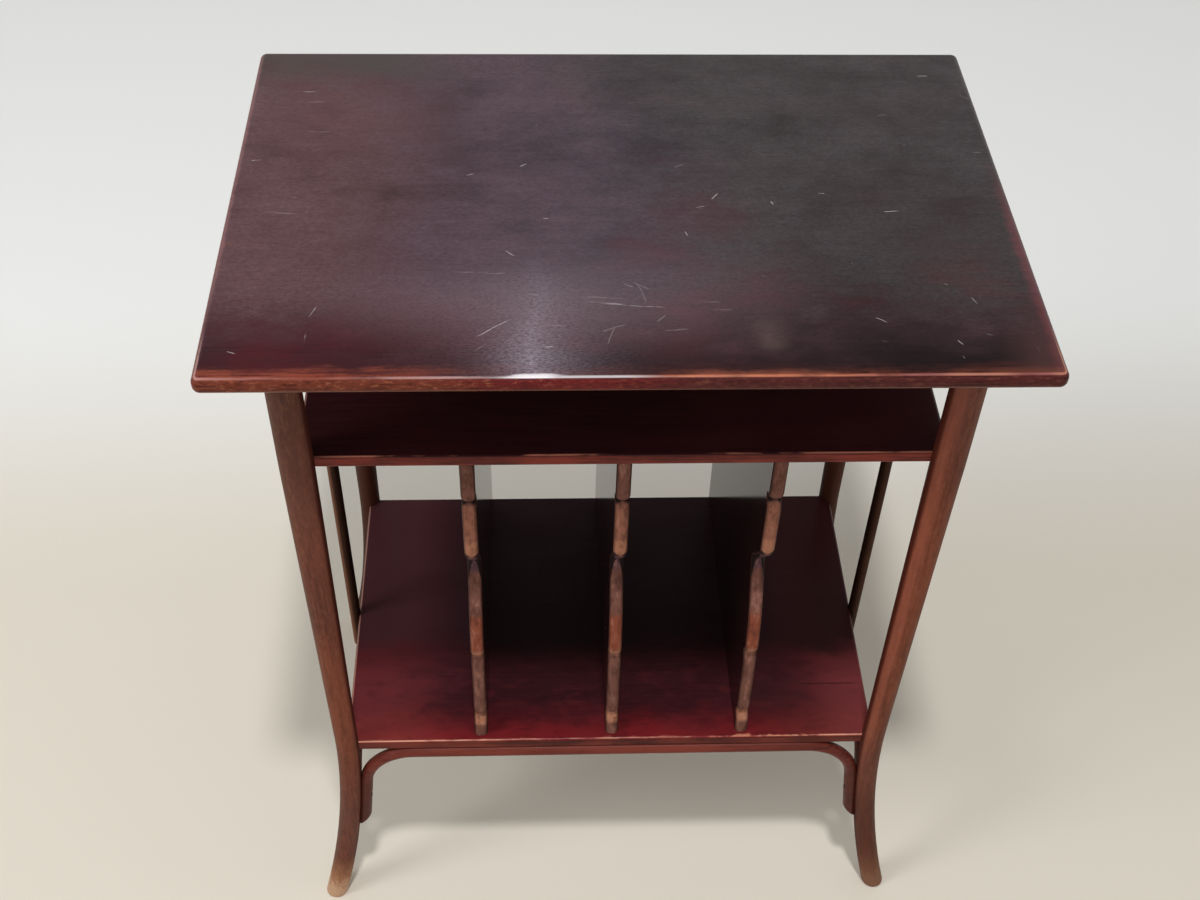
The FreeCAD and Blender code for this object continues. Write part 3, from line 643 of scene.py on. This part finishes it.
    def specks(self, size, width, length, offset):
        """Small scattered scratches, one to a cell, at their own angles, some cells left bare."""
        scaled = self.vector("MULTIPLY", self.place, (1 / size, 1 / size, 0.0))
        moved = self.vector("ADD", scaled, offset)
        cells = self.add("ShaderNodeTexVoronoi", voronoi_dimensions="2D")
        self.feed(cells.inputs["Vector"], moved)
        cells.inputs["Scale"].default_value = 1.0
        chance, angle, reach = self.split(cells.outputs["Color"])
        turn = self.add("ShaderNodeVectorRotate", rotation_type="Z_AXIS")
        self.feed(turn.inputs["Vector"], self.vector("SUBTRACT", moved, cells.outputs["Position"]))
        self.feed(turn.inputs["Angle"], self.scale(angle, -SPECK_TURN, SPECK_TURN))
        along, across, _ = self.split(turn.outputs["Vector"])
        thin = self.step(self.math("ABSOLUTE", across), width / size, 0.0)
        run = self.math("SUBTRACT", self.math("ABSOLUTE", along), self.times(reach, length / size))
        solid = self.step(run, 0.0, -SPECK_SOFT * length / size)
        return self.times(thin, solid, self.step(chance, *SPECK_CHANCE))

    def colour(self, value):
        """Sets the colour."""
        self.feed(self.shader.inputs["Base Color"], value)

    def gloss(self, roughness):
        """Sets the roughness."""
        self.feed(self.shader.inputs["Roughness"], roughness)

    def relief(self, height, depth):
        """Fine relief, as deep as given in metres."""
        bump = self.add("ShaderNodeBump")
        self.feed(bump.inputs["Height"], height)
        bump.inputs["Strength"].default_value = 1.0
        bump.inputs["Distance"].default_value = depth
        self.feed(self.shader.inputs["Normal"], bump.outputs["Normal"])


class Wood(Finish):
    """Stained wood with grain along one axis."""

    def __init__(self, name):
        super().__init__(name)
        along, (dark, body, light), seed, self.roughness, self.depth, self.shine = WOODS[name]
        self.grain = self.noise(along=along, seed=seed, **GRAIN)
        self.pores = self.noise(along=along, seed=seed + PORE_SEED_STEP, **PORES)
        self.cloud = self.noise(along=along, seed=seed + CLOUD_SEED_STEP, **CLOUDS)
        stained = self.mix(self.step(self.grain, 0.30, 0.68), linear(dark), linear(body))
        clouded = self.tint(stained, (light, CLOUD_STRENGTH), self.step(self.cloud, 0.46, 0.72))
        pored = self.times(self.step(self.pores, 0.60, 0.74), PORE_STRENGTH)
        self.tone = self.mix(pored, clouded, linear(dark, PORE_SHADE))

    def wear(self, layer, *shares):
        """Covers the tone by a layer as far as all of some shares allow."""
        self.tone = self.tint(self.tone, layer, *shares)

    def finish(self, dull=None):
        """Sets colour, roughness where the surface is dull, relief of the grain and mirror share."""
        if dull is None:
            dull = self.step(self.cloud, 0.35, 0.65)
        self.colour(self.tone)
        self.gloss(self.scale(dull, *self.roughness))
        self.shader.inputs["Specular IOR Level"].default_value = self.shine
        self.relief(self.shifted(self.grain, self.pores, PORE_SINK), self.depth)
        return self.material


class Board(Wood):
    """A level board, with places on it counted from its edges and its middle too."""

    def __init__(self, name, low, high):
        super().__init__(name)
        self.front_y = low.y
        self.from_front = self.math("SUBTRACT", self.y, low.y)
        self.from_left = self.math("SUBTRACT", self.x, low.x)
        self.from_right = self.math("SUBTRACT", high.x, self.x)
        self.from_middle = self.math("ABSOLUTE", self.x)


class TopBoard(Board):
    """Dark stain, red at the left and in front, under a pale bloom set back from the front, partly old
    polish and partly painted reflection.
    """

    def __init__(self, name, low, high):
        super().__init__(name, low, high)
        broad = self.around_zero(self.noise(**BROAD_DRIFT))
        self.small = self.around_zero(self.noise(**SMALL_DRIFT))
        self.drift = self.shifted(self.times(broad, BROAD_WEIGHT), self.small, SMALL_WEIGHT)
        self.streaks = self.noise(**TOP_STREAKS)
        self.brushed = self.noise(**TOP_BRUSHING)
        self.rows = self.scale(self.streaks, 0.78, 1.22)
        turned = self.shifted(self.x, self.step(self.y, *BACK_FADE), BACK_SHIFT)
        self.across = self.shifted(turned, self.drift, DRIFT_X)
        self.ragged = self.shifted(self.y, self.drift, DRIFT_Y)

    def soft_patches(self, patches):
        """Soft patches, some of them drawn out in the rows of the streaks."""
        for middle, reach, raggedness, layer, in_rows in patches:
            patch = self.patch(middle, reach, self.times(self.drift, raggedness))
            if in_rows:
                patch = self.times(patch, self.rows)
            self.wear(layer, patch)

    def stain(self):
        """Red at the left and in patches, with black streaks in front."""
        red = self.shifted(self.step(self.x, *RED_FADE), self.drift, RED_DRIFT)
        self.wear(STAIN_RED, self.step(red, 0.10, 0.95))
        streaked = self.scale(self.streaks, 0.2, 1.3)
        for middle, reach in RED_PATCHES:
            patch = self.patch(middle, reach, self.times(self.drift, RED_PATCH_DRIFT))
            self.wear(FRONT_RED, patch, streaked)
        dark_rows = self.step(self.streaks, 0.52, 0.70)
        self.wear(FRONT_STREAKS, dark_rows, self.step(self.y, *FRONT_STREAK_FADE))

    def bloom_and_sheen(self):
        """Old polish gone pale under a painted reflection, thinner at the right front, with a grey corner
        at the back left.
        """
        tone = self.mix(self.step(self.across, *ROSE_TO_VIOLET), linear(BLOOM_SHEEN_ROSE), linear(BLOOM_SHEEN_VIOLET))
        tone = self.tint(tone, BLOOM_SHEEN_GREY, self.step(self.across, *VIOLET_TO_GREY))
        tone = self.tint(tone, BLOOM_SHEEN_FRONT, self.step(self.ragged, *BLOOM_SHEEN_FRONT_FADE))
        set_back = self.shifted(self.ragged, self.step(self.x, *SET_BACK_FADE), -BLOOM_SHEEN_SET_BACK)
        spread = self.times(self.step(set_back, *BLOOM_SHEEN_START), self.step(self.drift, -1.4, 0.6))
        dusty = self.scale(self.noise(**TOP_DUST), 0.3, 1.7)
        thinner = self.times(self.step(self.x, *THIN_RIGHT), self.step(self.y, *THIN_FRONT))
        thinned = self.scale(thinner, 1.0, THIN_BLOOM_SHEEN)
        self.tone = self.mix(self.times(spread, dusty, thinned, self.rows, BLOOM_SHEEN_SHARE), self.tone, tone)
        self.wear(CORNER_GREY, self.step(self.ragged, *CORNER_BACK), self.step(self.across, *CORNER_LEFT))
        self.soft_patches(SHEEN_PATCHES)

    def painted_glare(self):
        """A painted glare, a pale highlight towards the front edge in a faint halo of painted sheen, broken
        up by fine brushing.
        """
        self.wear(BRUSHED_DARK, self.step(self.brushed, 0.50, 0.32), self.step(self.y, *BRUSHED_RUN))
        off_beam = self.shifted(self.math("SUBTRACT", self.x, GLARE_X), self.drift, GLARE_DRIFT)
        half_widths = self.math("DIVIDE", self.math("ABSOLUTE", off_beam), -GLARE_HALF_WIDTH)
        painted_glare = self.times(self.math("POWER", 2.0, half_widths), self.step(self.y, *GLARE_RUN))
        self.wear(GLARE_HIGHLIGHT, painted_glare, self.scale(self.step(self.brushed, 0.32, 0.68), 0.25, 0.80))
        glare_halo = self.step(self.from_middle, *GLARE_HALO_WIDTH)
        self.wear(GLARE_HALO_SHEEN, glare_halo, self.within(self.y, GLARE_HALO_RUN, GLARE_HALO_END), self.rows)
        self.soft_patches(FRONT_PATCHES)

    def rims(self):
        """Rubbed borders of the upper face: glow and orange in front, red and rose at the sides."""
        front = self.shifted(self.step(self.from_front, *FRONT_GLOW_RIM), self.small, FRONT_RIM_DRIFT)
        run = self.scale(self.step(self.x, *FRONT_GLOW_RUN), 0.15, 0.90)
        light_rows = self.scale(self.step(self.streaks, 0.42, 0.62), 1.15, 0.35)
        broken = self.times(light_rows, self.scale(self.brushed, 0.4, 1.6))
        self.wear(FRONT_GLOW, self.step(front, 0.25, 1.10), run, broken)
        right = self.shifted(self.step(self.from_right, *RIGHT_RED_RIM), self.small, SIDE_RIM_DRIFT)
        fainter = self.scale(self.step(self.y, *RIGHT_RED_END), 0.7, 1.0)
        self.wear(RIGHT_RED, self.step(right, 0.30, 1.10), self.step(self.y, *RIGHT_RED_START), fainter)
        left = self.shifted(self.step(self.from_left, *LEFT_ROSE_RIM), self.small, SIDE_RIM_DRIFT)
        self.wear(LEFT_ROSE, self.step(left, 0.50, 1.0), self.step(self.y, *LEFT_ROSE_END))
        orange = self.step(self.from_front, *FRONT_ORANGE_RIM)
        run = self.times(self.step(self.x, *FRONT_ORANGE_START), self.step(self.small, -0.15, 0.15))
        fainter = self.scale(self.step(self.x, *FRONT_ORANGE_END), 0.3, 0.6)
        self.wear(FRONT_ORANGE, orange, run, fainter)

    def edge(self):
        """The edge all round, speckled and seamed, paler under its rounding."""
        speckle = self.noise(**EDGE_SPECKLE)
        seams = self.noise(seed=TOP_SEAM_SEED, **EDGE_SEAMS)
        tone = self.mix(self.step(self.across, *TAN_TO_RED), linear(EDGE_TAN), linear(EDGE_RED))
        tone = self.tint(tone, EDGE_BROWN, self.step(self.across, *RED_TO_BROWN))
        paler = self.scale(self.step(self.across, *EDGE_PALE_FADE), 0.2, 0.5)
        tone = self.tint(tone, EDGE_PALE, self.step(speckle, 0.53, 0.68), paler)
        tone = self.tint(tone, EDGE_DARK, self.step(speckle, 0.46, 0.34))
        tone = self.tint(tone, EDGE_SEAM, self.step(seams, 0.52, 0.66))
        tone = self.tint(tone, EDGE_UNDER, self.step(self.facing_up, *TOP_LOWER_RIM))
        self.tone = self.mix(self.step(self.facing_up, *TOP_EDGE), self.tone, tone)

    def arris(self):
        """The front arris, rubbed in runs, with a painted glint, a bright highlight where the painted glare
        meets it.
        """
        curve = self.within(self.facing_up, TOP_ARRIS_START, TOP_ARRIS_END)
        front = self.times(curve, self.step(self.y, *ARRIS_FRONT))
        broken = self.step(self.noise(**ARRIS_BREAKS), 0.36, 0.56)
        for start, end, layer in ARRIS_RUNS:
            self.wear(layer, front, broken, self.within(self.x, start, end))
        tan = self.either(self.within(self.x, TAN_START, TAN_END), self.step(self.x, *TAN_TIP))
        self.wear(ARRIS_TAN, front, tan)
        tail = self.times(self.within(self.x, GLINT_START, GLINT_TAIL_END), GLINT_TAIL_STRENGTH)
        bright = self.times(self.within(self.x, GLINT_START, GLINT_END), GLINT_STRENGTH)
        spread = self.math("ADD", self.times(bright, GLINT_SPREAD), self.times(self.small, GLINT_DRIFT))
        rim = self.step(self.math("SUBTRACT", self.from_front, spread), *GLINT_RIM)
        bright_rim = self.times(rim, self.step(self.facing_up, *TOP_ARRIS_START), bright)
        self.wear(GLINT, self.either(self.times(front, tail), bright_rim))

    def scratches(self):
        """Scratches on the upper face, drawn and scattered, each one broken here and there."""
        self.bend_lines(SCRATCH_BEND, SCRATCH_SWAY)
        clear = [self.line(start, end, SCRATCH_WIDTH) for start, end in SCRATCHES]
        faint = [self.line(start, end, FAINT_WIDTH) for start, end in FAINT_SCRATCHES]
        specks = self.specks(SPECK_SPACING, SPECK_WIDTH, SPECK_LENGTH, SPECK_OFFSET)
        scattered = self.times(specks, SPECK_STRENGTH)
        scratched = self.either(scattered, *clear, self.times(self.either(*faint), FAINT_STRENGTH))
        broken = self.step(self.noise(**SCRATCH_BREAKS), 0.30, 0.58)
        self.wear(SCRATCH_PALE, scratched, self.step(self.facing_up, *TOP_LEVEL), broken)


class Shelf(Board):
    """A shelf with thin edges."""

    def edges(self, dark, light, rubbed, seed):
        """Red-brown edges under arrises that are rubbed pale in front and, more faintly, at the left."""
        breaks = self.noise(seed=seed, **SHELF_BREAKS)
        seams = self.noise(seed=seed + SEAM_SEED_STEP, **EDGE_SEAMS)
        tone = self.mix(self.step(breaks, 0.35, 0.62), linear(dark), linear(light))
        tone = self.tint(tone, SHELF_SEAM, self.step(seams, 0.50, 0.66))
        self.tone = self.mix(self.step(self.facing_up, *SHELF_EDGE), self.tone, tone)
        arris = self.within(self.facing_up, SHELF_ARRIS_START, SHELF_ARRIS_END)
        broken = self.times(self.step(breaks, 0.44, 0.58), FRONT_RIM_STRENGTH)
        front = self.times(self.step(self.from_front, *SHELF_RIM), broken)
        left = self.times(self.step(self.from_left, *SHELF_RIM), LEFT_RIM_STRENGTH)
        self.wear((rubbed, 1.0), arris, self.either(front, left))
        self.wear(UNDERSIDE, self.step(self.facing_up, *UNDERSIDE_FADE))


# Finishes

def top_wood():
    """The table top, layer by layer."""
    wood = TopBoard("top_wood", *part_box("table_top"))
    wood.stain()
    wood.bloom_and_sheen()
    wood.painted_glare()
    wood.rims()
    wood.edge()
    wood.arris()
    wood.wear(UNDERSIDE, wood.step(wood.facing_up, *UNDERSIDE_FADE))
    wood.scratches()
    return wood.finish()


def mid_shelf_wood():
    """Nearly black, in painted shade under the top."""
    wood = Shelf("mid_shelf_wood", *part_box("mid_shelf"))
    inner = wood.scale(wood.step(wood.from_middle, *MID_SHADE_INNER), 0.5, 0.85)
    wood.wear(MID_SHELF_SHADE, wood.step(wood.from_front, *MID_SHADE_START), inner)
    wood.edges(*MID_SHELF_EDGE)
    return wood.finish()


def lower_shelf_wood():
    """Plum, with painted light towards the legs, the front edge and the right end, and painted shade
    behind, nearly black between the dividers.
    """
    wood = Shelf("lower_shelf_wood", *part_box("lower_shelf"))
    cloud = wood.around_zero(wood.noise(**SHELF_CLOUD))
    ragged = wood.shifted(wood.from_front, cloud, SHELF_CLOUD_REACH)
    outer_lit = wood.step(wood.from_middle, *OUTER_LIT_FADE)
    wood.wear(OUTER_LIT_RED, outer_lit)
    lit_front = wood.mix(outer_lit, linear(LIT_FRONT_INNER), linear(LIT_FRONT_OUTER))
    wood.tone = wood.mix(wood.step(ragged, *LIT_FRONT_RIM), wood.tone, lit_front)
    mottle = wood.noise(**SHELF_MOTTLE)
    mottled = wood.step(ragged, *MOTTLE_RUN)
    wood.wear(MOTTLE_DARK, mottled, wood.step(mottle, 0.52, 0.36))
    wood.wear(MOTTLE_LIGHT, mottled, wood.step(mottle, 0.50, 0.70))
    wood.wear(RIGHT_FRONT_RED, wood.step(ragged, *RIGHT_FRONT_RUN), wood.step(wood.x, *RIGHT_FRONT_X))
    spot_middle = (DARK_SPOT_X, wood.front_y + DARK_SPOT_BACK)
    wood.wear(DARK_SPOT, wood.patch(spot_middle, DARK_SPOT_REACH, wood.times(cloud, DARK_SPOT_DRIFT)))
    wood.wear(LIT_RIGHT_END, wood.step(wood.x, *LIT_RIGHT_END_X))
    shaded_back = wood.step(ragged, *SHADED_BACK_RUN)
    wood.wear(SHADED_BACK_LEFT, shaded_back, wood.step(wood.x, *SHADED_BACK_LEFT_X))
    wood.wear(SHADED_BACK_RIGHT, wood.step(ragged, *SHADED_BACK_RIGHT_RUN), wood.step(wood.x, *SHADED_BACK_RIGHT_X))
    wood.wear(SHADED_BACK_MIDDLE, shaded_back, wood.step(wood.from_middle, *SHADED_BACK_MIDDLE_X))
    wood.wear(JOINT_DARK, wood.line(*SHELF_JOINT, JOINT_WIDTH))
    wood.edges(*LOWER_SHELF_EDGE)
    chips = wood.around_zero(wood.noise(**SHELF_CHIPS))
    chipped = wood.step(wood.shifted(wood.from_front, chips, SHELF_CHIP_REACH), *CHIPPED_RIM)
    more_at_right = wood.scale(wood.step(wood.x, *CHIPPED_X), 0.20, 0.60)
    wood.wear(CHIPPED_TAN, chipped, wood.step(wood.facing_up, *SHELF_ARRIS_START), more_at_right)
    return wood.finish()


def leg_wood():
    """Brown, mottled and streaked, dark with painted shade towards the table's middle and at the rear,
    painted light on the right, bare at the feet.
    """
    wood = Wood("leg_wood")
    rubs = wood.noise(**LEG_RUBS)
    flecks = wood.noise(**LEG_FLECKS)
    streaks = wood.noise(**LEG_STREAKS)
    right = wood.step(wood.x, *RIGHT_SIDE)
    left = wood.step(wood.x, *LEFT_SIDE)
    right_middle = wood.times(wood.within(wood.z, RIGHT_RUB_START, RIGHT_RUB_END), right)
    left_middle = wood.times(wood.within(wood.z, LEFT_RUB_START, LEFT_RUB_END), left)
    uneven = wood.scale(wood.step(rubs, 0.42, 0.68), 0.4, 1.0)
    wood.wear(LEG_RUBBED, wood.either(right_middle, left_middle), uneven)
    wood.wear(LEG_UPPER_LEFT, wood.step(wood.z, *UPPER_LEFT_FADE), left)
    wood.wear(LEG_UPPER_RIGHT_LIGHT, wood.step(wood.z, *UPPER_RIGHT_LIGHT_FADE), right)
    wood.wear(LEG_STREAK, wood.step(streaks, 0.50, 0.68))
    wood.wear(LIGHT_FLECK, wood.step(flecks, 0.52, 0.66))
    wood.wear(DARK_FLECK, wood.step(flecks, 0.47, 0.35))
    wood.wear(LEG_DUST, wood.step(wood.z, *LEG_DUST_FADE), wood.step(rubs, 0.25, 0.65))
    wood.wear(DARK_SHIN, wood.step(wood.z, *DARK_SHIN_FADE), right)
    wood.wear(LEG_OUTSIDE, wood.step(wood.facing_out, *LEG_OUTSIDE_FACING))
    lit_inside = wood.step(wood.facing_out, *LEG_INSIDE_LIGHT_FACING)
    more_at_right = wood.scale(right, 0.08, 0.26)
    wood.wear(LEG_INSIDE_LIGHT, lit_inside, wood.step(wood.z, *LEG_INSIDE_LIGHT_FADE), more_at_right)
    wood.wear(LEG_INNERMOST_SHADE, wood.step(wood.facing_out, *LEG_INNERMOST_SHADE_FACING))
    wood.wear(REAR_LEG_UNWORN_AND_SHADED, wood.step(wood.y, *REAR_SHADE_FADE))
    ragged = wood.shifted(wood.z, wood.around_zero(flecks), BARE_RAGGED)
    wood.wear(BARE_FOOT, wood.step(ragged, *BARE_FOOT_FADE), wood.scale(right, 1.0, 0.30))
    bare_tip = wood.times(wood.step(ragged, *BARE_TIP_FADE), wood.scale(right, 1.0, 0.14))
    wood.wear(BARE_TIP, bare_tip, wood.scale(wood.grain, 0.7, 1.0))
    return wood.finish()


def divider_wood():
    """Dark polished faces; the scroll-cut front edge is rubbed light but dark plum in its hollow, with
    painted shade on its flanks and nicks.
    """
    low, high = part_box("middle_divider")
    wood = Wood("divider_wood")
    half_spacing = DIVIDER_SPACING / 2
    level = wood.math("DIVIDE", wood.math("SUBTRACT", wood.z, low.z), high.z - low.z)
    from_middle = wood.math("ABSOLUTE", wood.math("WRAP", wood.x, half_spacing, -half_spacing))
    near_front = wood.step(wood.y, *DIVIDER_FRONT)
    strip = wood.times(wood.step(wood.facing_side, *SCROLL_FACING), near_front)
    rounded = wood.times(wood.step(wood.facing_side, *ROUNDED_FACING), near_front)
    wood.wear(SCROLL_BROWN, strip)
    for bottom, top, tone in SCROLL_STRETCHES:
        above = wood.step(level, bottom - STRETCH_BLUR, bottom + STRETCH_BLUR)
        below = wood.step(level, top + STRETCH_BLUR, top - STRETCH_BLUR)
        wood.wear((tone, 1.0), strip, above, below)
    mottle = wood.noise(**DIVIDER_MOTTLE)
    wood.wear(SCROLL_LIGHT, strip, wood.step(mottle, 0.52, 0.66))
    wood.wear(SCROLL_DARK, strip, wood.step(mottle, 0.50, 0.36))
    wood.wear(SCROLL_FLANK_SHADE, strip, wood.step(wood.facing_side, *SHADED_FLANK_FACING))
    for nick_level, slope in SHADED_NICKS:
        height = wood.math("ABSOLUTE", wood.math("SUBTRACT", level, nick_level))
        nick_shade = wood.step(wood.shifted(height, from_middle, -slope), *NICK_SHADE_FADE)
        wood.wear(SCROLL_NICK_SHADE, strip, nick_shade)
    return wood.finish(rounded)


def rod_wood():
    """Dark rods, the left one lighter on the outside with painted light, all darker inside with painted
    shade.
    """
    wood = Wood("rod_wood")
    wood.wear(ROD_OUTSIDE_LIGHT, wood.step(wood.facing_out, *ROD_LIT_FACING), wood.step(wood.x, *LEFT_SIDE))
    wood.wear(ROD_INSIDE_SHADE, wood.step(wood.facing_out, *ROD_SHADED_FACING))
    return wood.finish()


def apron_wood(name):
    """Red-brown bent rods, darker down their arms."""
    wood = Wood(name)
    wood.wear(APRON_ARM, wood.step(wood.z, *APRON_ARM_FADE))
    return wood.finish()


def screw_steel():
    """Dull steel, freckled with tarnish."""
    steel = Finish("screw_steel")
    freckles = steel.noise(**STEEL_FRECKLES)
    tarnished = steel.step(freckles, 0.48, 0.68)
    steel.colour(steel.mix(tarnished, linear(STEEL_COLOUR), linear(TARNISH_COLOUR)))
    steel.gloss(steel.scale(freckles, *STEEL_ROUGHNESS))
    steel.relief(freckles, STEEL_RELIEF)
    steel.shader.inputs["Metallic"].default_value = 1.0
    return steel.material


finishes = {
    "top_wood": top_wood(),
    "mid_shelf_wood": mid_shelf_wood(),
    "lower_shelf_wood": lower_shelf_wood(),
    "batten_wood": Wood("batten_wood").finish(),
    "leg_wood": leg_wood(),
    "divider_wood": divider_wood(),
    "rod_wood": rod_wood(),
    "apron_wood": apron_wood("apron_wood"),
    "dowel_wood": Wood("dowel_wood").finish(),
    "screw_steel": screw_steel(),
}
side_apron_finish = apron_wood("side_apron_wood")

for subpart in frame["record"]["subparts"]:
    node = subpart["node"]
    material = finishes[subpart["material_slot"]]
    if node in ("left_apron", "right_apron"):
        material = side_apron_finish
    solid = frame["nodes"][node]
    solid.data.materials.clear()
    solid.data.materials.append(material)
    solid.data.shade_smooth()
    solid.data.set_sharp_from_angle(angle=SMOOTH_ANGLE)


# Stage

def make_floor():
    """A plain pale floor, large enough for every view, made paler behind the table by painted light."""
    half = FLOOR_SIZE / 2
    mesh = bpy.data.meshes.new("floor")
    corners = [(-half, -half, 0), (half, -half, 0), (half, half, 0), (-half, half, 0)]
    mesh.from_pydata(corners, [], [(0, 1, 2, 3)])
    floor = bpy.data.objects.new("floor", mesh)
    bpy.context.scene.collection.objects.link(floor)
    paint = Finish("floor_paint")
    far_light = paint.step(paint.y, *FAR_FLOOR_LIGHT_FADE)
    paint.colour(paint.mix(far_light, linear(FLOOR_COLOUR), linear(FAR_FLOOR_LIGHT)))
    paint.gloss(paint.scale(paint.noise(**FLOOR_SHADE), *FLOOR_ROUGHNESS))
    mesh.materials.append(paint.material)


def make_light(name, place, aim, size, power):
    """A round soft lamp, aimed at a point."""
    lamp = bpy.data.lights.new(name, "AREA")
    lamp.shape = "DISK"
    lamp.size = size
    lamp.energy = power
    light = bpy.data.objects.new(name, lamp)
    light.location = place
    light.rotation_euler = (Vector(aim) - Vector(place)).to_track_quat("-Z", "Y").to_euler()
    bpy.context.scene.collection.objects.link(light)


def make_sky():
    """Pale all round, dimmer overhead."""
    world = bpy.data.worlds.new("studio")
    bpy.context.scene.world = world
    world.use_nodes = True
    nodes = world.node_tree.nodes
    links = world.node_tree.links
    split = nodes.new("ShaderNodeSeparateXYZ")
    links.new(nodes.new("ShaderNodeTexCoord").outputs["Generated"], split.inputs[0])
    fade = nodes.new("ShaderNodeMapRange")
    fade.interpolation_type = "SMOOTHSTEP"
    links.new(split.outputs["Z"], fade.inputs["Value"])
    fade.inputs["From Min"].default_value = SKY_FADE[0]
    fade.inputs["From Max"].default_value = SKY_FADE[1]
    fade.inputs["To Min"].default_value = SKY_LOW
    fade.inputs["To Max"].default_value = SKY_HIGH
    background = nodes["Background"]
    background.inputs["Color"].default_value = SKY_COLOUR
    links.new(fade.outputs["Result"], background.inputs["Strength"])


def make_camera():
    """The camera at the photograph's place, turned by yaw, pitch and roll."""
    level = math.cos(CAMERA_PITCH)
    ahead = Vector((math.sin(CAMERA_YAW) * level, math.cos(CAMERA_YAW) * level, -math.sin(CAMERA_PITCH)))
    right = Vector((math.cos(CAMERA_YAW), -math.sin(CAMERA_YAW), 0.0))
    down = ahead.cross(right)
    rolled_right = right * math.cos(CAMERA_ROLL) + down * math.sin(CAMERA_ROLL)
    rolled_down = down * math.cos(CAMERA_ROLL) - right * math.sin(CAMERA_ROLL)
    lens = bpy.data.cameras.new("camera")
    lens.lens = CAMERA_LENS
    lens.sensor_width = SENSOR_WIDTH
    lens.sensor_fit = "HORIZONTAL"
    camera = bpy.data.objects.new("camera", lens)
    turn = Matrix((rolled_right, -rolled_down, -ahead)).transposed().to_4x4()
    camera.matrix_world = Matrix.Translation(CAMERA_PLACE) @ turn
    bpy.context.scene.collection.objects.link(camera)
    bpy.context.scene.camera = camera


make_floor()
make_light("key_light", *KEY_LIGHT)
make_light("left_light", *LEFT_LIGHT)
make_sky()
make_camera()
bpy.context.scene.view_settings.view_transform = "Standard"
